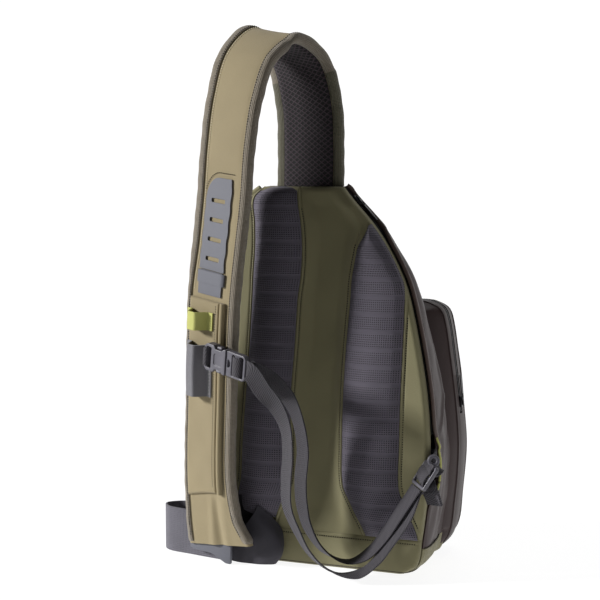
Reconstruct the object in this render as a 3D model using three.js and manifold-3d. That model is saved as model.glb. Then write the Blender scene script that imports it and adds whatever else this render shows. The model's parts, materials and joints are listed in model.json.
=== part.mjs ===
// Fishing sling bag, in millimetres, +Z up, standing on its flat base with the origin at the base's
// centre.
// The padded back panel faces -Y, the front pocket +Y, and +X is to the right of someone facing the back
// panel.
// The wide padded strap leaves the top edge, arches over in front of the panel and comes down at its left
// corner.
import * as THREE from "three";
import Module from "manifold-3d";
import { mergeVertices } from "three/addons/utils/BufferGeometryUtils.js";

const wasm = await Module();
wasm.setup();

// Bag body
const BAG_WIDTH = 225;
const BAG_HEIGHT = 408;
const SHELL_DEPTH = 85;
const SHELL_WALL = 2.4;
const BOOT_HEIGHT = 28;
const POCKET_HEIGHT = 278;
const POCKET_DEPTH = 52;
const POCKET_WALL = 2;
const POCKET_LIFT = 5;
const SEAM_GAP = 0.3;

// Back panel and its pads
const PANEL_THICKNESS = 6;
const PANEL_RISE = 4;
const BAND_HEIGHT = 38;
const PAD_EDGE = 2.5;
const PAD_CROWN = 5.5;

// Zips and the piped side slot
const ZIP_WIDTH = 8;
const ZIP_TAPE = 1.2;
const ZIP_TEETH = 3;
const ZIP_LOW_END = 150;
const ZIP_FROM_STRAP = 4;
const SLOT_LOW_END = 84;
const SLOT_PIPING = 1.8;
const SLIDER_LENGTH = 12;
const SLIDER_HEIGHT = 4.5;
const PULL_LENGTH = 26;
const PULL_WIDTH = 6;

// Shoulder strap
const STRAP_WIDTH = 75;
const STRAP_PAD = 10;
const STRAP_REACH = 64;
const ARCH_RISE = 155;
const LINING_THICKNESS = 3;
const BINDING_THICKNESS = 1.2;
const BINDING_COVER = 9;
const FACE_SAG = 0.4;

// Pieces sewn on the strap's face; heights are measured along the strap from its foot
const POUCH_LOW = 60;
const POUCH_HIGH = 271;
const POUCH_WIDTH = 45;
const POUCH_THICKNESS = 3.6;
const CORD_PIPE_WIDTH = 6.5;
const CORD_HEIGHT = 4.6;
const LADDER_LOW = 302;
const LADDER_LENGTH = 98;
const LADDER_WIDTH = 36;
const LAMINATE = 1.5;
const LADDER_SLOT_WIDTH = 20;
const LADDER_SLOT_HEIGHT = 4.5;
const LADDER_SLOTS = 4;
const LADDER_PITCH = 20.5;
const TAB_LENGTH = 26;
const TOOL_LOOP_LOW = 240;
const TOOL_LOOP_HEIGHT = 19;
const FLY_SLEEVE_LOW = 168;
const FLY_SLEEVE_HEIGHT = 56;
const LOOP_SPAN = 38;
const LOOP_RISE = 13;
const LOOP_FOOT = 5;
const LOOP_SHOULDER = 0.36;
const WEB_THICKNESS = 1.6;

// Side-release buckle and the narrow stabiliser webbing
const NARROW_WEB = 20;
const WEB_PLAY = 1.2;
const BUCKLE_WIDTH = 29;
const SOCKET_LENGTH = 31;
const PLUG_LENGTH = 28;
const BUCKLE_THICKNESS = 9;
const BUCKLE_BAR = 3;
const SOCKET_SLOT = 7;
const BUCKLE_TURN = 4;
const BUCKLE_HEIGHT_ON_STRAP = 216;

// Adjuster at the bag's right edge
const ADJUSTER_LENGTH = 28;
const ADJUSTER_WIDTH = 27;
const ADJUSTER_THICKNESS = 4.5;
const ADJUSTER_BAR = 3.6;
const ADJUSTER_HEIGHT = 112;
const ADJUSTER_STANDOFF = 17;
const WEB_END_LENGTH = 24;

// Wide webbing at the strap's foot
const WIDE_WEB = 50;
const WIDE_WEB_THICKNESS = 2;
const WIDE_WEB_REACH = 48;
const WIDE_WEB_BACK = 32;
const WING_THICKNESS = 2.5;
const WING_HEIGHT = 64;
const FLOOR_GAP = 0.4;
const END_TAB_WIDTH = 46;

const HALF_WIDTH = BAG_WIDTH / 2;
const RIM_Y = -SHELL_DEPTH / 2;
const SHELL_FRONT_Y = RIM_Y + SHELL_DEPTH;
const PANEL_BACK_Y = RIM_Y - SEAM_GAP;
const PANEL_FRONT_Y = PANEL_BACK_Y - PANEL_THICKNESS;

// Outline of the back panel and borders of its two pads: up is a share of the bag's height, the rest of
// its half width
const PANEL_ROWS = [
  { up: 0, left: -0.82, leftOut: -0.8, leftIn: -0.6, rightIn: 0.4, rightOut: 0.68, right: 0.71 },
  { up: 0.024, left: -0.93, leftOut: -0.88, leftIn: -0.62, rightIn: 0.4, rightOut: 0.8, right: 0.84 },
  { up: 0.095, left: -0.985, leftOut: -0.95, leftIn: -0.62, rightIn: 0.34, rightOut: 0.86, right: 0.89 },
  { up: 0.175, left: -1.02, leftOut: -0.98, leftIn: -0.51, rightIn: 0.2, rightOut: 0.76, right: 0.93 },
  { up: 0.225, left: -1.03, leftOut: -0.95, leftIn: -0.44, rightIn: 0.12, rightOut: 0.68, right: 0.95 },
  { up: 0.33, left: -1.035, leftOut: -0.93, leftIn: -0.43, rightIn: 0.11, rightOut: 0.68, right: 0.965 },
  { up: 0.46, left: -1.03, leftOut: -0.89, leftIn: -0.42, rightIn: 0.12, rightOut: 0.69, right: 0.935 },
  { up: 0.59, left: -1.01, leftOut: -0.85, leftIn: -0.38, rightIn: 0.15, rightOut: 0.71, right: 0.86 },
  { up: 0.71, left: -0.985, leftOut: -0.82, leftIn: -0.35, rightIn: 0.19, rightOut: 0.72, right: 0.765 },
  { up: 0.765, left: -0.978, leftOut: -0.81, leftIn: -0.32, rightIn: 0.205, rightOut: 0.665, right: 0.7 },
  { up: 0.84, left: -0.964, leftOut: -0.79, leftIn: -0.305, rightIn: 0.255, rightOut: 0.525, right: 0.56 },
  { up: 0.905, left: -0.945, leftOut: -0.79, leftIn: -0.32, rightIn: 0.3, rightOut: 0.36, right: 0.395 },
  { up: 0.97, left: -0.87, leftOut: -0.8, leftIn: -0.36, rightIn: 0.1, rightOut: 0.14, right: 0.18 },
  { up: 1, left: -0.73, leftOut: -0.7, leftIn: -0.37, rightIn: 0.02, rightOut: 0.055, right: 0.09 },
];
const BODY_LEVELS = [
  0, 0.008, 0.024, 0.05, 0.095, 0.16, 0.24, 0.33, 0.42, 0.51, 0.59, 0.66, 0.72, 0.77, 0.815, 0.86, 0.9, 0.94,
  0.97, 0.99, 1,
];

// The main shell from its rim to its front wall: deep is a share of its depth, wide and tall of the
// outline there
const SHELL_SECTIONS = [
  { deep: 0, wide: 1, tall: 1 },
  { deep: 0.06, wide: 1.022, tall: 1 },
  { deep: 0.15, wide: 1.034, tall: 1 },
  { deep: 0.25, wide: 1.034, tall: 1 },
  { deep: 0.38, wide: 1.028, tall: 0.982 },
  { deep: 0.58, wide: 1.01, tall: 0.935 },
  { deep: 0.8, wide: 0.97, tall: 0.86 },
  { deep: 0.94, wide: 0.92, tall: 0.8 },
  { deep: 1, wide: 0.86, tall: 0.765 },
];

// Outline of the front pocket: up is a share of its height, left and right of the bag's half width
const POCKET_ROWS = [
  { up: 0, left: -0.8, right: 0.76 },
  { up: 0.03, left: -0.9, right: 0.86 },
  { up: 0.08, left: -0.96, right: 0.93 },
  { up: 0.2, left: -1.01, right: 0.97 },
  { up: 0.33, left: -1.03, right: 1 },
  { up: 0.46, left: -1.035, right: 1.005 },
  { up: 0.62, left: -1.03, right: 0.97 },
  { up: 0.8, left: -1, right: 0.91 },
  { up: 0.92, left: -0.96, right: 0.86 },
  { up: 0.975, left: -0.9, right: 0.8 },
  { up: 1, left: -0.76, right: 0.66 },
];
const POCKET_SECTIONS = [
  { deep: 0, wide: 0.99, tall: 0.99 },
  { deep: 0.1, wide: 1, tall: 1 },
  { deep: 0.45, wide: 1, tall: 1 },
  { deep: 0.7, wide: 0.985, tall: 0.985 },
  { deep: 0.88, wide: 0.94, tall: 0.95 },
  { deep: 1, wide: 0.85, tall: 0.88 },
];

// The strap's middle line from the bag's top edge to its foot: across is a share of the bag's width, out
// of the reach in front of the rim, up of the bag's height and above 1 of the arch's rise. yaw in degrees
// turns the right edge towards the wearer, lean drops it, and left and right are the half widths as
// shares of the strap's width
const STRAP_ROWS = [
  { across: -0.145, out: -0.16, up: 1, yaw: 0, lean: 0, left: 0.5, right: 0.5 },
  { across: -0.145, out: -0.175, up: 1.27, yaw: 0, lean: 0, left: 0.5, right: 0.5 },
  { across: -0.152, out: -0.14, up: 1.57, yaw: 1, lean: 0, left: 0.5, right: 0.5 },
  { across: -0.19, out: 0.06, up: 1.86, yaw: 5, lean: -0.12, left: 0.5, right: 0.5 },
  { across: -0.262, out: 0.5, up: 2, yaw: 10, lean: -0.2, left: 0.5, right: 0.5 },
  { across: -0.335, out: 0.87, up: 1.87, yaw: 15, lean: -0.1, left: 0.5, right: 0.5 },
  { across: -0.387, out: 0.99, up: 1.6, yaw: 18, lean: 0, left: 0.5, right: 0.5 },
  { across: -0.42, out: 1.02, up: 1.27, yaw: 20, lean: 0, left: 0.5, right: 0.5 },
  { across: -0.447, out: 0.98, up: 0.968, yaw: 20, lean: 0, left: 0.5, right: 0.5 },
  { across: -0.51, out: 0.906, up: 0.71, yaw: 21, lean: 0, left: 0.5, right: 0.5 },
  { across: -0.547, out: 0.75, up: 0.458, yaw: 22, lean: 0, left: 0.5, right: 0.5 },
  { across: -0.578, out: 0.6, up: 0.245, yaw: 20, lean: 0, left: 0.49, right: 0.5 },
  { across: -0.577, out: 0.53, up: 0.12, yaw: 15, lean: -0.05, left: 0.47, right: 0.56 },
  { across: -0.565, out: 0.52, up: 0.05, yaw: 11, lean: -0.12, left: 0.45, right: 0.7 },
];
const STRAP_STEPS = 38;

// The two runs of stabiliser webbing: along is a share of the way across from buckle to adjuster, out of
// the buckle's distance from the panel, up of its height, and wx, wy, wz point along the webbing's width
const OUTER_RUN_ROWS = [
  { along: 0.1, out: 0.954, up: 0.905, wx: 0.25, wy: -0.25, wz: 0.93 },
  { along: 0.166, out: 0.86, up: 0.83, wx: 0.5, wy: -0.4, wz: 0.75 },
  { along: 0.21, out: 0.76, up: 0.725, wx: 0.7, wy: -0.55, wz: 0.4 },
  { along: 0.215, out: 0.71, up: 0.6, wx: 0.8, wy: -0.6, wz: 0.05 },
  { along: 0.19, out: 0.65, up: 0.46, wx: 0.8, wy: -0.6, wz: -0.05 },
  { along: 0.19, out: 0.62, up: 0.34, wx: 0.78, wy: -0.62, wz: 0.1 },
  { along: 0.25, out: 0.59, up: 0.225, wx: 0.6, wy: -0.7, wz: 0.35 },
  { along: 0.344, out: 0.57, up: 0.115, wx: 0.4, wy: -0.8, wz: 0.4 },
  { along: 0.49, out: 0.545, up: 0.043, wx: 0.1, wy: -0.92, wz: 0.35 },
  { along: 0.66, out: 0.496, up: 0.045, wx: 0.1, wy: -0.92, wz: -0.3 },
  { along: 0.77, out: 0.44, up: 0.115, wx: 0.35, wy: -0.85, wz: -0.35 },
  { along: 0.853, out: 0.38, up: 0.21, wx: 0.5, wy: -0.78, wz: -0.38 },
  { along: 0.945, out: 0.33, up: 0.32, wx: 0.55, wy: -0.75, wz: -0.36 },
];
const INNER_RUN_ROWS = [
  { along: 0.1, out: 0.82, up: 0.945, wx: 0.25, wy: -0.25, wz: 0.93 },
  { along: 0.184, out: 0.64, up: 0.86, wx: 0.55, wy: -0.45, wz: 0.7 },
  { along: 0.234, out: 0.52, up: 0.745, wx: 0.8, wy: -0.55, wz: 0.25 },
  { along: 0.253, out: 0.448, up: 0.6, wx: 0.84, wy: -0.52, wz: 0.05 },
  { along: 0.228, out: 0.4, up: 0.45, wx: 0.86, wy: -0.5, wz: -0.05 },
  { along: 0.228, out: 0.36, up: 0.33, wx: 0.84, wy: -0.5, wz: 0.15 },
  { along: 0.266, out: 0.33, up: 0.215, wx: 0.65, wy: -0.62, wz: 0.4 },
  { along: 0.36, out: 0.295, up: 0.115, wx: 0.35, wy: -0.8, wz: 0.45 },
  { along: 0.52, out: 0.29, up: 0.072, wx: 0.1, wy: -0.95, wz: 0.1 },
  { along: 0.67, out: 0.31, up: 0.115, wx: 0.35, wy: -0.85, wz: -0.35 },
  { along: 0.79, out: 0.32, up: 0.21, wx: 0.5, wy: -0.78, wz: -0.38 },
  { along: 0.905, out: 0.3, up: 0.34, wx: 0.55, wy: -0.75, wz: -0.36 },
];
const RUN_STEPS = 34;
const WEB_LEAD = 5;

const fabric = (name, color, roughness = 0.9) =>
  Object.assign(new THREE.MeshStandardMaterial({ color, roughness, metalness: 0 }), { name });
const OLIVE = fabric("olive_nylon", 0x8f8765);
const PANEL_OLIVE = fabric("panel_nylon", 0x6f6a48);
const BROWN = fabric("brown_coated", 0x3b302e, 0.6);
const TAUPE = fabric("taupe_binding", 0x8d8170);
const GREY_MESH = fabric("spacer_mesh", 0x57545d);
const DARK_MESH = fabric("lining_mesh", 0x2f272d);
const GREY_WEB = fabric("grey_webbing", 0x5f5d64);
const GREY_LAMINATE = fabric("grey_laminate", 0x6e6f78, 0.6);
const LIME = fabric("lime_webbing", 0xc9c96a);
const GREY_PLASTIC = fabric("grey_acetal", 0x55545c, 0.4);
const BLACK = fabric("zip_black", 0x1b1a1c, 0.7);

const vector = (x, y, z) => new THREE.Vector3(x, y, z);

// A column of a table of rows at a place between them, on a smooth curve through its values
function smooth(rows, key, column, at) {
  let k = rows.findIndex((row) => row[key] >= at);
  k = Math.min(Math.max(k, 1), rows.length - 1);
  const [a, b] = [rows[k - 1], rows[k]];
  const [before, after] = [rows[Math.max(k - 2, 0)], rows[Math.min(k + 1, rows.length - 1)]];
  const span = b[key] - a[key];
  const t = Math.min(Math.max((at - a[key]) / span, 0), 1);
  const slopeA = ((b[column] - before[column]) / (b[key] - before[key])) * span;
  const slopeB = ((after[column] - a[column]) / (after[key] - a[key])) * span;
  const [t2, t3] = [t * t, t * t * t];
  return (
    (2 * t3 - 3 * t2 + 1) * a[column] +
    (t3 - 2 * t2 + t) * slopeA +
    (3 * t2 - 2 * t3) * b[column] +
    (t3 - t2) * slopeB
  );
}

// A manifold-3d solid from shared points and triangles, turned to face out
function solidOf(points, triangles) {
  let volume = 0;
  for (const [a, b, c] of triangles) volume += points[a].dot(points[b].clone().cross(points[c]));
  const facing = volume < 0 ? triangles.map(([a, b, c]) => [a, c, b]) : triangles;
  const vertProperties = new Float32Array(points.flatMap((p) => [p.x, p.y, p.z]));
  const triVerts = new Uint32Array(facing.flat());
  return new wasm.Manifold(new wasm.Mesh({ numProp: 3, vertProperties, triVerts }));
}

// A solid skinned over rings of equal count; flat gives the ring's shape in two coordinates, to fill its
// ends
function skin(rings, flat) {
  const count = rings[0].length;
  const last = (rings.length - 1) * count;
  const triangles = [];
  for (let r = 0; r + 1 < rings.length; r++)
    for (let i = 0; i < count; i++) {
      const [a, b] = [r * count + i, r * count + ((i + 1) % count)];
      triangles.push([a, b, b + count], [a, b + count, a + count]);
    }
  const clockwise = THREE.ShapeUtils.isClockWise(flat);
  for (const [a, p, q] of THREE.ShapeUtils.triangulateShape(flat, [])) {
    const [b, c] = clockwise ? [q, p] : [p, q];
    triangles.push([a, c, b], [last + a, last + b, last + c]);
  }
  return solidOf(rings.flat(), triangles);
}

// A slab between two grids of points that match row for row
function slab(front, back) {
  const [rows, columns] = [front.length, front[0].length];
  const index = (side, r, c) => side * rows * columns + r * columns + c;
  const triangles = [];
  const quad = (a, b, c, d) => triangles.push([a, b, c], [a, c, d]);
  for (let r = 0; r + 1 < rows; r++)
    for (let c = 0; c + 1 < columns; c++) {
      quad(index(0, r, c), index(0, r, c + 1), index(0, r + 1, c + 1), index(0, r + 1, c));
      quad(index(1, r, c), index(1, r + 1, c), index(1, r + 1, c + 1), index(1, r, c + 1));
    }
  for (let r = 0; r + 1 < rows; r++) {
    quad(index(0, r, 0), index(0, r + 1, 0), index(1, r + 1, 0), index(1, r, 0));
    const end = columns - 1;
    quad(index(0, r + 1, end), index(0, r, end), index(1, r, end), index(1, r + 1, end));
  }
  for (let c = 0; c + 1 < columns; c++) {
    quad(index(0, 0, c + 1), index(0, 0, c), index(1, 0, c), index(1, 0, c + 1));
    quad(index(0, rows - 1, c), index(0, rows - 1, c + 1), index(1, rows - 1, c + 1), index(1, rows - 1, c));
  }
  return solidOf([...front.flat(), ...back.flat()], triangles);
}

// A box between two corners
function box(low, high) {
  const size = high.clone().sub(low);
  const geometry = new THREE.BoxGeometry(size.x, size.y, size.z);
  geometry.translate((low.x + high.x) / 2, (low.y + high.y) / 2, (low.z + high.z) / 2);
  return fromGeometry(geometry);
}

// A closed three.js geometry as a manifold-3d solid
function fromGeometry(geometry) {
  geometry.deleteAttribute("normal");
  geometry.deleteAttribute("uv");
  const merged = mergeVertices(geometry, 1e-4);
  return new wasm.Manifold(
    new wasm.Mesh({
      numProp: 3,
      vertProperties: merged.attributes.position.array,
      triVerts: new Uint32Array(merged.index.array),
    }),
  );
}

// An outline in the XY plane made solid between two heights, with holes cut through it
function plate(corners, holes, low, high, bevel = 0) {
  const shape = new THREE.Shape(corners.map(([x, y]) => new THREE.Vector2(x, y)));
  const geometry = new THREE.ExtrudeGeometry(shape, {
    depth: high - low - 2 * bevel,
    bevelEnabled: bevel > 0,
    bevelThickness: bevel,
    bevelSize: bevel,
    bevelOffset: -bevel,
    bevelSegments: 1,
  });
  geometry.translate(0, 0, low + bevel);
  const cutThrough = (solid, hole) => solid.subtract(plate(hole, [], low - 1, high + 1));
  return holes.reduce(cutThrough, fromGeometry(geometry));
}

const bag = new THREE.Group();

// A named mesh of a solid, added to a group
function addPiece(name, solid, material, group = bag) {
  const made = solid.getMesh();
  const shared = new THREE.BufferGeometry();
  shared.setAttribute("position", new THREE.BufferAttribute(new Float32Array(made.vertProperties), 3));
  shared.setIndex(new THREE.BufferAttribute(new Uint32Array(made.triVerts), 1));
  const geometry = shared.toNonIndexed();
  geometry.computeVertexNormals();
  const mesh = new THREE.Mesh(geometry, material);
  mesh.name = name;
  group.add(mesh);
  return mesh;
}

// The back panel's left and right edges at a share of the bag's height
const edgeAt = (side, up) => smooth(PANEL_ROWS, "up", side, up) * HALF_WIDTH;

// An outline in the XZ plane: up its right side and down its left
function outline(levels, right, left, height) {
  const rightSide = levels.map((up) => vector(right(up), 0, height(up)));
  const leftSide = [...levels].reverse().map((up) => vector(left(up), 0, height(up)));
  return [...rightSide, ...leftSide];
}

// A ring moved inwards by a wall's thickness
function inset(ring, distance) {
  return ring.map((p, i) => {
    const before = ring[(i + ring.length - 1) % ring.length];
    const after = ring[(i + 1) % ring.length];
    const inA = vector(before.z - p.z, 0, p.x - before.x).normalize();
    const inB = vector(p.z - after.z, 0, after.x - p.x).normalize();
    const inward = inA.clone().add(inB).normalize();
    return p.clone().addScaledVector(inward, distance / Math.max(inward.dot(inA), 0.5));
  });
}

const flatXZ = (ring) => ring.map((p) => new THREE.Vector2(p.x, p.z));

// The outline of the main shell at one of its sections, and of the pocket at one of its own
function shellRing({ deep, wide, tall }) {
  const ring = outline(
    BODY_LEVELS,
    (up) => edgeAt("right", up) * wide,
    (up) => edgeAt("left", up) * wide,
    (up) => up * BAG_HEIGHT * tall,
  );
  ring.forEach((p) => (p.y = RIM_Y + deep * SHELL_DEPTH));
  return ring;
}

const POCKET_LEVELS = POCKET_ROWS.map((row) => row.up);
const POCKET_MIDDLE = POCKET_LIFT + POCKET_HEIGHT / 2;
const POCKET_BACK_Y = SHELL_FRONT_Y + SEAM_GAP;

function pocketRing({ deep, wide, tall }) {
  const ring = outline(
    POCKET_LEVELS,
    (up) => smooth(POCKET_ROWS, "up", "right", up) * HALF_WIDTH * wide,
    (up) => smooth(POCKET_ROWS, "up", "left", up) * HALF_WIDTH * wide,
    (up) => POCKET_MIDDLE + (up - 0.5) * POCKET_HEIGHT * tall,
  );
  ring.forEach((p) => (p.y = POCKET_BACK_Y + deep * POCKET_DEPTH));
  return ring;
}

// A cup open towards -Y: its rings skinned over, less the same rings inset by the wall and stopped short
// of the front
function cup(rings, wall) {
  const front = rings.at(-1)[0].y;
  const inner = rings.map((ring) => inset(ring, wall));
  inner[0].forEach((p) => (p.y -= wall));
  inner.at(-1).forEach((p) => (p.y = front - wall));
  const held = inner.filter((ring, i) => i === inner.length - 1 || ring[0].y < front - wall - 1);
  return skin(rings, flatXZ(rings[0])).subtract(skin(held, flatXZ(held[0])));
}

// A wall that follows a cup's rim between two depths, from one inset to another
function rimWall(ring, from, to, outerInset, innerInset) {
  const at = (distance, y) => {
    const moved = inset(ring, distance);
    moved.forEach((p) => (p.y = y));
    return moved;
  };
  const outer = [at(outerInset, from), at(outerInset, to)];
  const inner = [at(innerInset, from - 1), at(innerInset, to + 1)];
  return skin(outer, flatXZ(outer[0])).subtract(skin(inner, flatXZ(inner[0])));
}

const FAR = 2 * (BAG_HEIGHT + BAG_WIDTH);
// A box between limits, without end where none is given
const between = ({ x = -FAR, y = -FAR, z = -FAR }, high) =>
  box(vector(x, y, z), vector(high.x ?? FAR, high.y ?? FAR, high.z ?? FAR));

// Main shell, split at the boot, with the zip's groove and the piped slot cut out of its rim on the right
const strapRootRight = STRAP_ROWS[0].across * BAG_WIDTH + STRAP_ROWS[0].right * STRAP_WIDTH;
const ZIP_FROM_X = strapRootRight + ZIP_FROM_STRAP;
const ZIP_FAR_Y = RIM_Y + ZIP_WIDTH + 2 * SEAM_GAP;
const shellRings = SHELL_SECTIONS.map(shellRing);
const wholeShell = cup(shellRings, SHELL_WALL).subtract(
  between({ x: ZIP_FROM_X, z: SLOT_LOW_END }, { y: ZIP_FAR_Y }),
);
addPiece("main_shell", wholeShell.intersect(between({ z: BOOT_HEIGHT + SEAM_GAP }, {})), BROWN);
addPiece("base_boot", wholeShell.intersect(between({}, { z: BOOT_HEIGHT })), PANEL_OLIVE);

// Main zip: a tape in the groove with a bead of teeth along its middle, and its slider at the upper end
const zipRing = shellRing({ deep: 0, wide: 1.005, tall: 1 });
const zipMiddleY = RIM_Y + SEAM_GAP + ZIP_WIDTH / 2;
const zipTape = rimWall(zipRing, zipMiddleY - ZIP_WIDTH / 2, zipMiddleY + ZIP_WIDTH / 2, 1, 1 + ZIP_TAPE);
const zipTeeth = rimWall(zipRing, zipMiddleY - ZIP_TEETH / 2, zipMiddleY + ZIP_TEETH / 2, 0.4, 1 + ZIP_TAPE);
addPiece(
  "main_zip",
  zipTape.add(zipTeeth).intersect(between({ x: ZIP_FROM_X + SEAM_GAP, z: ZIP_LOW_END }, {})),
  BLACK,
);

const oblong = (from, to, half) => [[from, -half], [to, -half], [to, half], [from, half]];

// A zip's slider with its pull, made lying in the XY plane with the zip along X
function slider() {
  const half = SLIDER_LENGTH * 0.28;
  const body = plate(oblong(0, SLIDER_LENGTH, half), [], 0, SLIDER_HEIGHT, 0.8);
  const bridge = plate(
    oblong(SLIDER_LENGTH * 0.15, SLIDER_LENGTH * 0.85, half * 0.35),
    [],
    SLIDER_HEIGHT - 0.5,
    SLIDER_HEIGHT + 1.6,
    0.4,
  );
  const pull = plate(
    oblong(SLIDER_LENGTH * 0.66, SLIDER_LENGTH + PULL_LENGTH, PULL_WIDTH / 2),
    [],
    SLIDER_HEIGHT + 1,
    SLIDER_HEIGHT + 3,
    0.6,
  );
  return body.add(bridge).add(pull);
}

// Turns a group so that its X and Z axes point along two directions from a place
function orient(group, at, along, up) {
  const x = along.clone().normalize();
  const z = up.clone().addScaledVector(x, -up.dot(x)).normalize();
  group.position.copy(at);
  group.quaternion.setFromRotationMatrix(new THREE.Matrix4().makeBasis(x, z.clone().cross(x), z));
  group.updateMatrix();
  bag.add(group);
  return group;
}

// A place on the right side of a ring at a share of height, with the directions down the outline and out
// of it
function onRightSide(side, up, height) {
  const [here, lower] = [up, up - 0.02].map((u) => vector(side(u), 0, height(u)));
  const down = lower.clone().sub(here).normalize();
  return { at: here, down, out: vector(-down.z, 0, down.x) };
}

const SLIDER_UP = 0.965;
const zipSide = (up) => edgeAt("right", up) * 1.005;
const zipTop = onRightSide(zipSide, SLIDER_UP, (up) => up * BAG_HEIGHT);
zipTop.at.y = zipMiddleY;
const zipSeat = zipTop.at.clone().addScaledVector(zipTop.out, SEAM_GAP);
const zipSlider = orient(new THREE.Group(), zipSeat, zipTop.down, zipTop.out);
addPiece("main_zip_slider", slider(), GREY_PLASTIC, zipSlider);

// Lime piping on the far lip of the side slot
const pipingNear = ZIP_FAR_Y - SEAM_GAP - SLOT_PIPING;
const pipingRing = shellRing({ deep: 0, wide: 1.02, tall: 1 });
const piping = rimWall(pipingRing, pipingNear, ZIP_FAR_Y - SEAM_GAP, 0, SLOT_PIPING);
addPiece(
  "slot_piping",
  piping.intersect(between({ x: 0, z: SLOT_LOW_END + SEAM_GAP }, { z: ZIP_LOW_END - SEAM_GAP })),
  LIME,
);

// Front pocket: a second cup on the shell's front wall, with its own zip in a slot across the upper part
const pocketRings = POCKET_SECTIONS.map(pocketRing);
const POCKET_ZIP_NEAR = POCKET_BACK_Y + POCKET_DEPTH * 0.22;
const POCKET_ZIP_FAR = POCKET_ZIP_NEAR + ZIP_WIDTH + 2 * SEAM_GAP;
const POCKET_ZIP_LOW = POCKET_LIFT + POCKET_HEIGHT * 0.55;
addPiece(
  "front_pocket",
  cup(pocketRings, POCKET_WALL).subtract(
    between({ y: POCKET_ZIP_NEAR, z: POCKET_ZIP_LOW }, { y: POCKET_ZIP_FAR }),
  ),
  BROWN,
);
const pocketOutline = pocketRing({ deep: 0, wide: 1, tall: 1 });
const pocketZipMiddle = (POCKET_ZIP_NEAR + POCKET_ZIP_FAR) / 2;
const acrossPocketZip = (width, outer) =>
  rimWall(pocketOutline, pocketZipMiddle - width / 2, pocketZipMiddle + width / 2, outer, 0.6 + ZIP_TAPE);
addPiece(
  "pocket_zip",
  acrossPocketZip(ZIP_WIDTH, 0.6)
    .add(acrossPocketZip(ZIP_TEETH, 0))
    .intersect(between({ z: POCKET_ZIP_LOW + SEAM_GAP }, {})),
  BLACK,
);

const pocketSide = (up) => smooth(POCKET_ROWS, "up", "right", up) * HALF_WIDTH;
const pocketStop = onRightSide(pocketSide, 0.7, (up) => POCKET_MIDDLE + (up - 0.5) * POCKET_HEIGHT);
pocketStop.at.y = pocketZipMiddle;
const pocketSlider = orient(
  new THREE.Group(),
  pocketStop.at.clone().addScaledVector(pocketStop.out, 2 * SEAM_GAP),
  pocketStop.down,
  pocketStop.out,
);
addPiece("pocket_zip_slider", slider(), GREY_PLASTIC, pocketSlider);

// Back panel: columns run from edge to edge through the pad borders, and each column's rise is a share of
// the foam's
const PAD_COLUMNS = [0.2, 0.5, 0.8];
const EDGE_INSET = 0.985;

function panelColumns(up) {
  const at = (column) => smooth(PANEL_ROWS, "up", column, up) * HALF_WIDTH * EDGE_INSET;
  const mix = (a, b, t) => at(a) + (at(b) - at(a)) * t;
  return [
    { x: at("left"), rise: 0 },
    { x: mix("left", "leftOut", 0.5), rise: 0.75 },
    { x: at("leftOut"), rise: 1 },
    ...PAD_COLUMNS.map((t) => ({ x: mix("leftOut", "leftIn", t), rise: 1 })),
    { x: at("leftIn"), rise: 1 },
    { x: mix("leftIn", "rightIn", 0.22), rise: 0.15 },
    { x: mix("leftIn", "rightIn", 0.5), rise: -0.3 },
    { x: mix("leftIn", "rightIn", 0.78), rise: 0.15 },
    { x: at("rightIn"), rise: 1 },
    ...PAD_COLUMNS.map((t) => ({ x: mix("rightIn", "rightOut", t), rise: 1 })),
    { x: at("rightOut"), rise: 1 },
    { x: mix("rightOut", "right", 0.5), rise: 0.75 },
    { x: at("right"), rise: 0 },
  ];
}

// The foam's rise fades out towards the band at the bottom and the strap at the top
const BAND_TOP = BAND_HEIGHT / BAG_HEIGHT;
const riseShare = (up) => Math.min(1, Math.max(0, (up - BAND_TOP) / 0.06), Math.max(0.25, (1 - up) / 0.05));
const panelFront = (rise, up) => PANEL_FRONT_Y - rise * riseShare(up) * PANEL_RISE;

const PANEL_BOTTOM = (BAND_HEIGHT + SEAM_GAP) / BAG_HEIGHT;
const PANEL_SHARES = [
  0, 0.03, 0.07, 0.13, 0.2, 0.28, 0.37, 0.46, 0.54, 0.61, 0.68, 0.74, 0.79, 0.84, 0.89, 0.93, 0.965, 0.99, 1,
];
const PANEL_LEVELS = PANEL_SHARES.map((share) => PANEL_BOTTOM + share * (1 - PANEL_BOTTOM));
const BAND_LEVELS = [0, 0.008, 0.024, 0.055, BAND_TOP];

// The rows of points of the panel at some levels, on a surface that depends on each column's rise
const panelGrid = (levels, surface) =>
  levels.map((up) => panelColumns(up).map(({ x, rise }) => vector(x, surface(rise, up), up * BAG_HEIGHT)));
const panelPart = (levels) => slab(panelGrid(levels, panelFront), panelGrid(levels, () => PANEL_BACK_Y));
addPiece("back_panel", panelPart(PANEL_LEVELS), PANEL_OLIVE);
addPiece("panel_band", panelPart(BAND_LEVELS), PANEL_OLIVE);

// A crowned spacer-mesh pad on the panel between two of its columns and two of its levels
function pad(firstColumn, lowLevel, highLevel) {
  const levels = PANEL_LEVELS.slice(lowLevel, highLevel + 1);
  const columns = (up) => panelColumns(up).slice(firstColumn, firstColumn + PAD_COLUMNS.length + 2);
  const crown = (c) => Math.sin((Math.PI * c) / (PAD_COLUMNS.length + 1));
  const under = levels.map((up) =>
    columns(up).map(({ x, rise }) => vector(x, panelFront(rise, up) - SEAM_GAP, up * BAG_HEIGHT)),
  );
  const over = under.map((row) => row.map((p, c) => vector(p.x, p.y - PAD_EDGE - PAD_CROWN * crown(c), p.z)));
  return slab(over, under);
}

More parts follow.
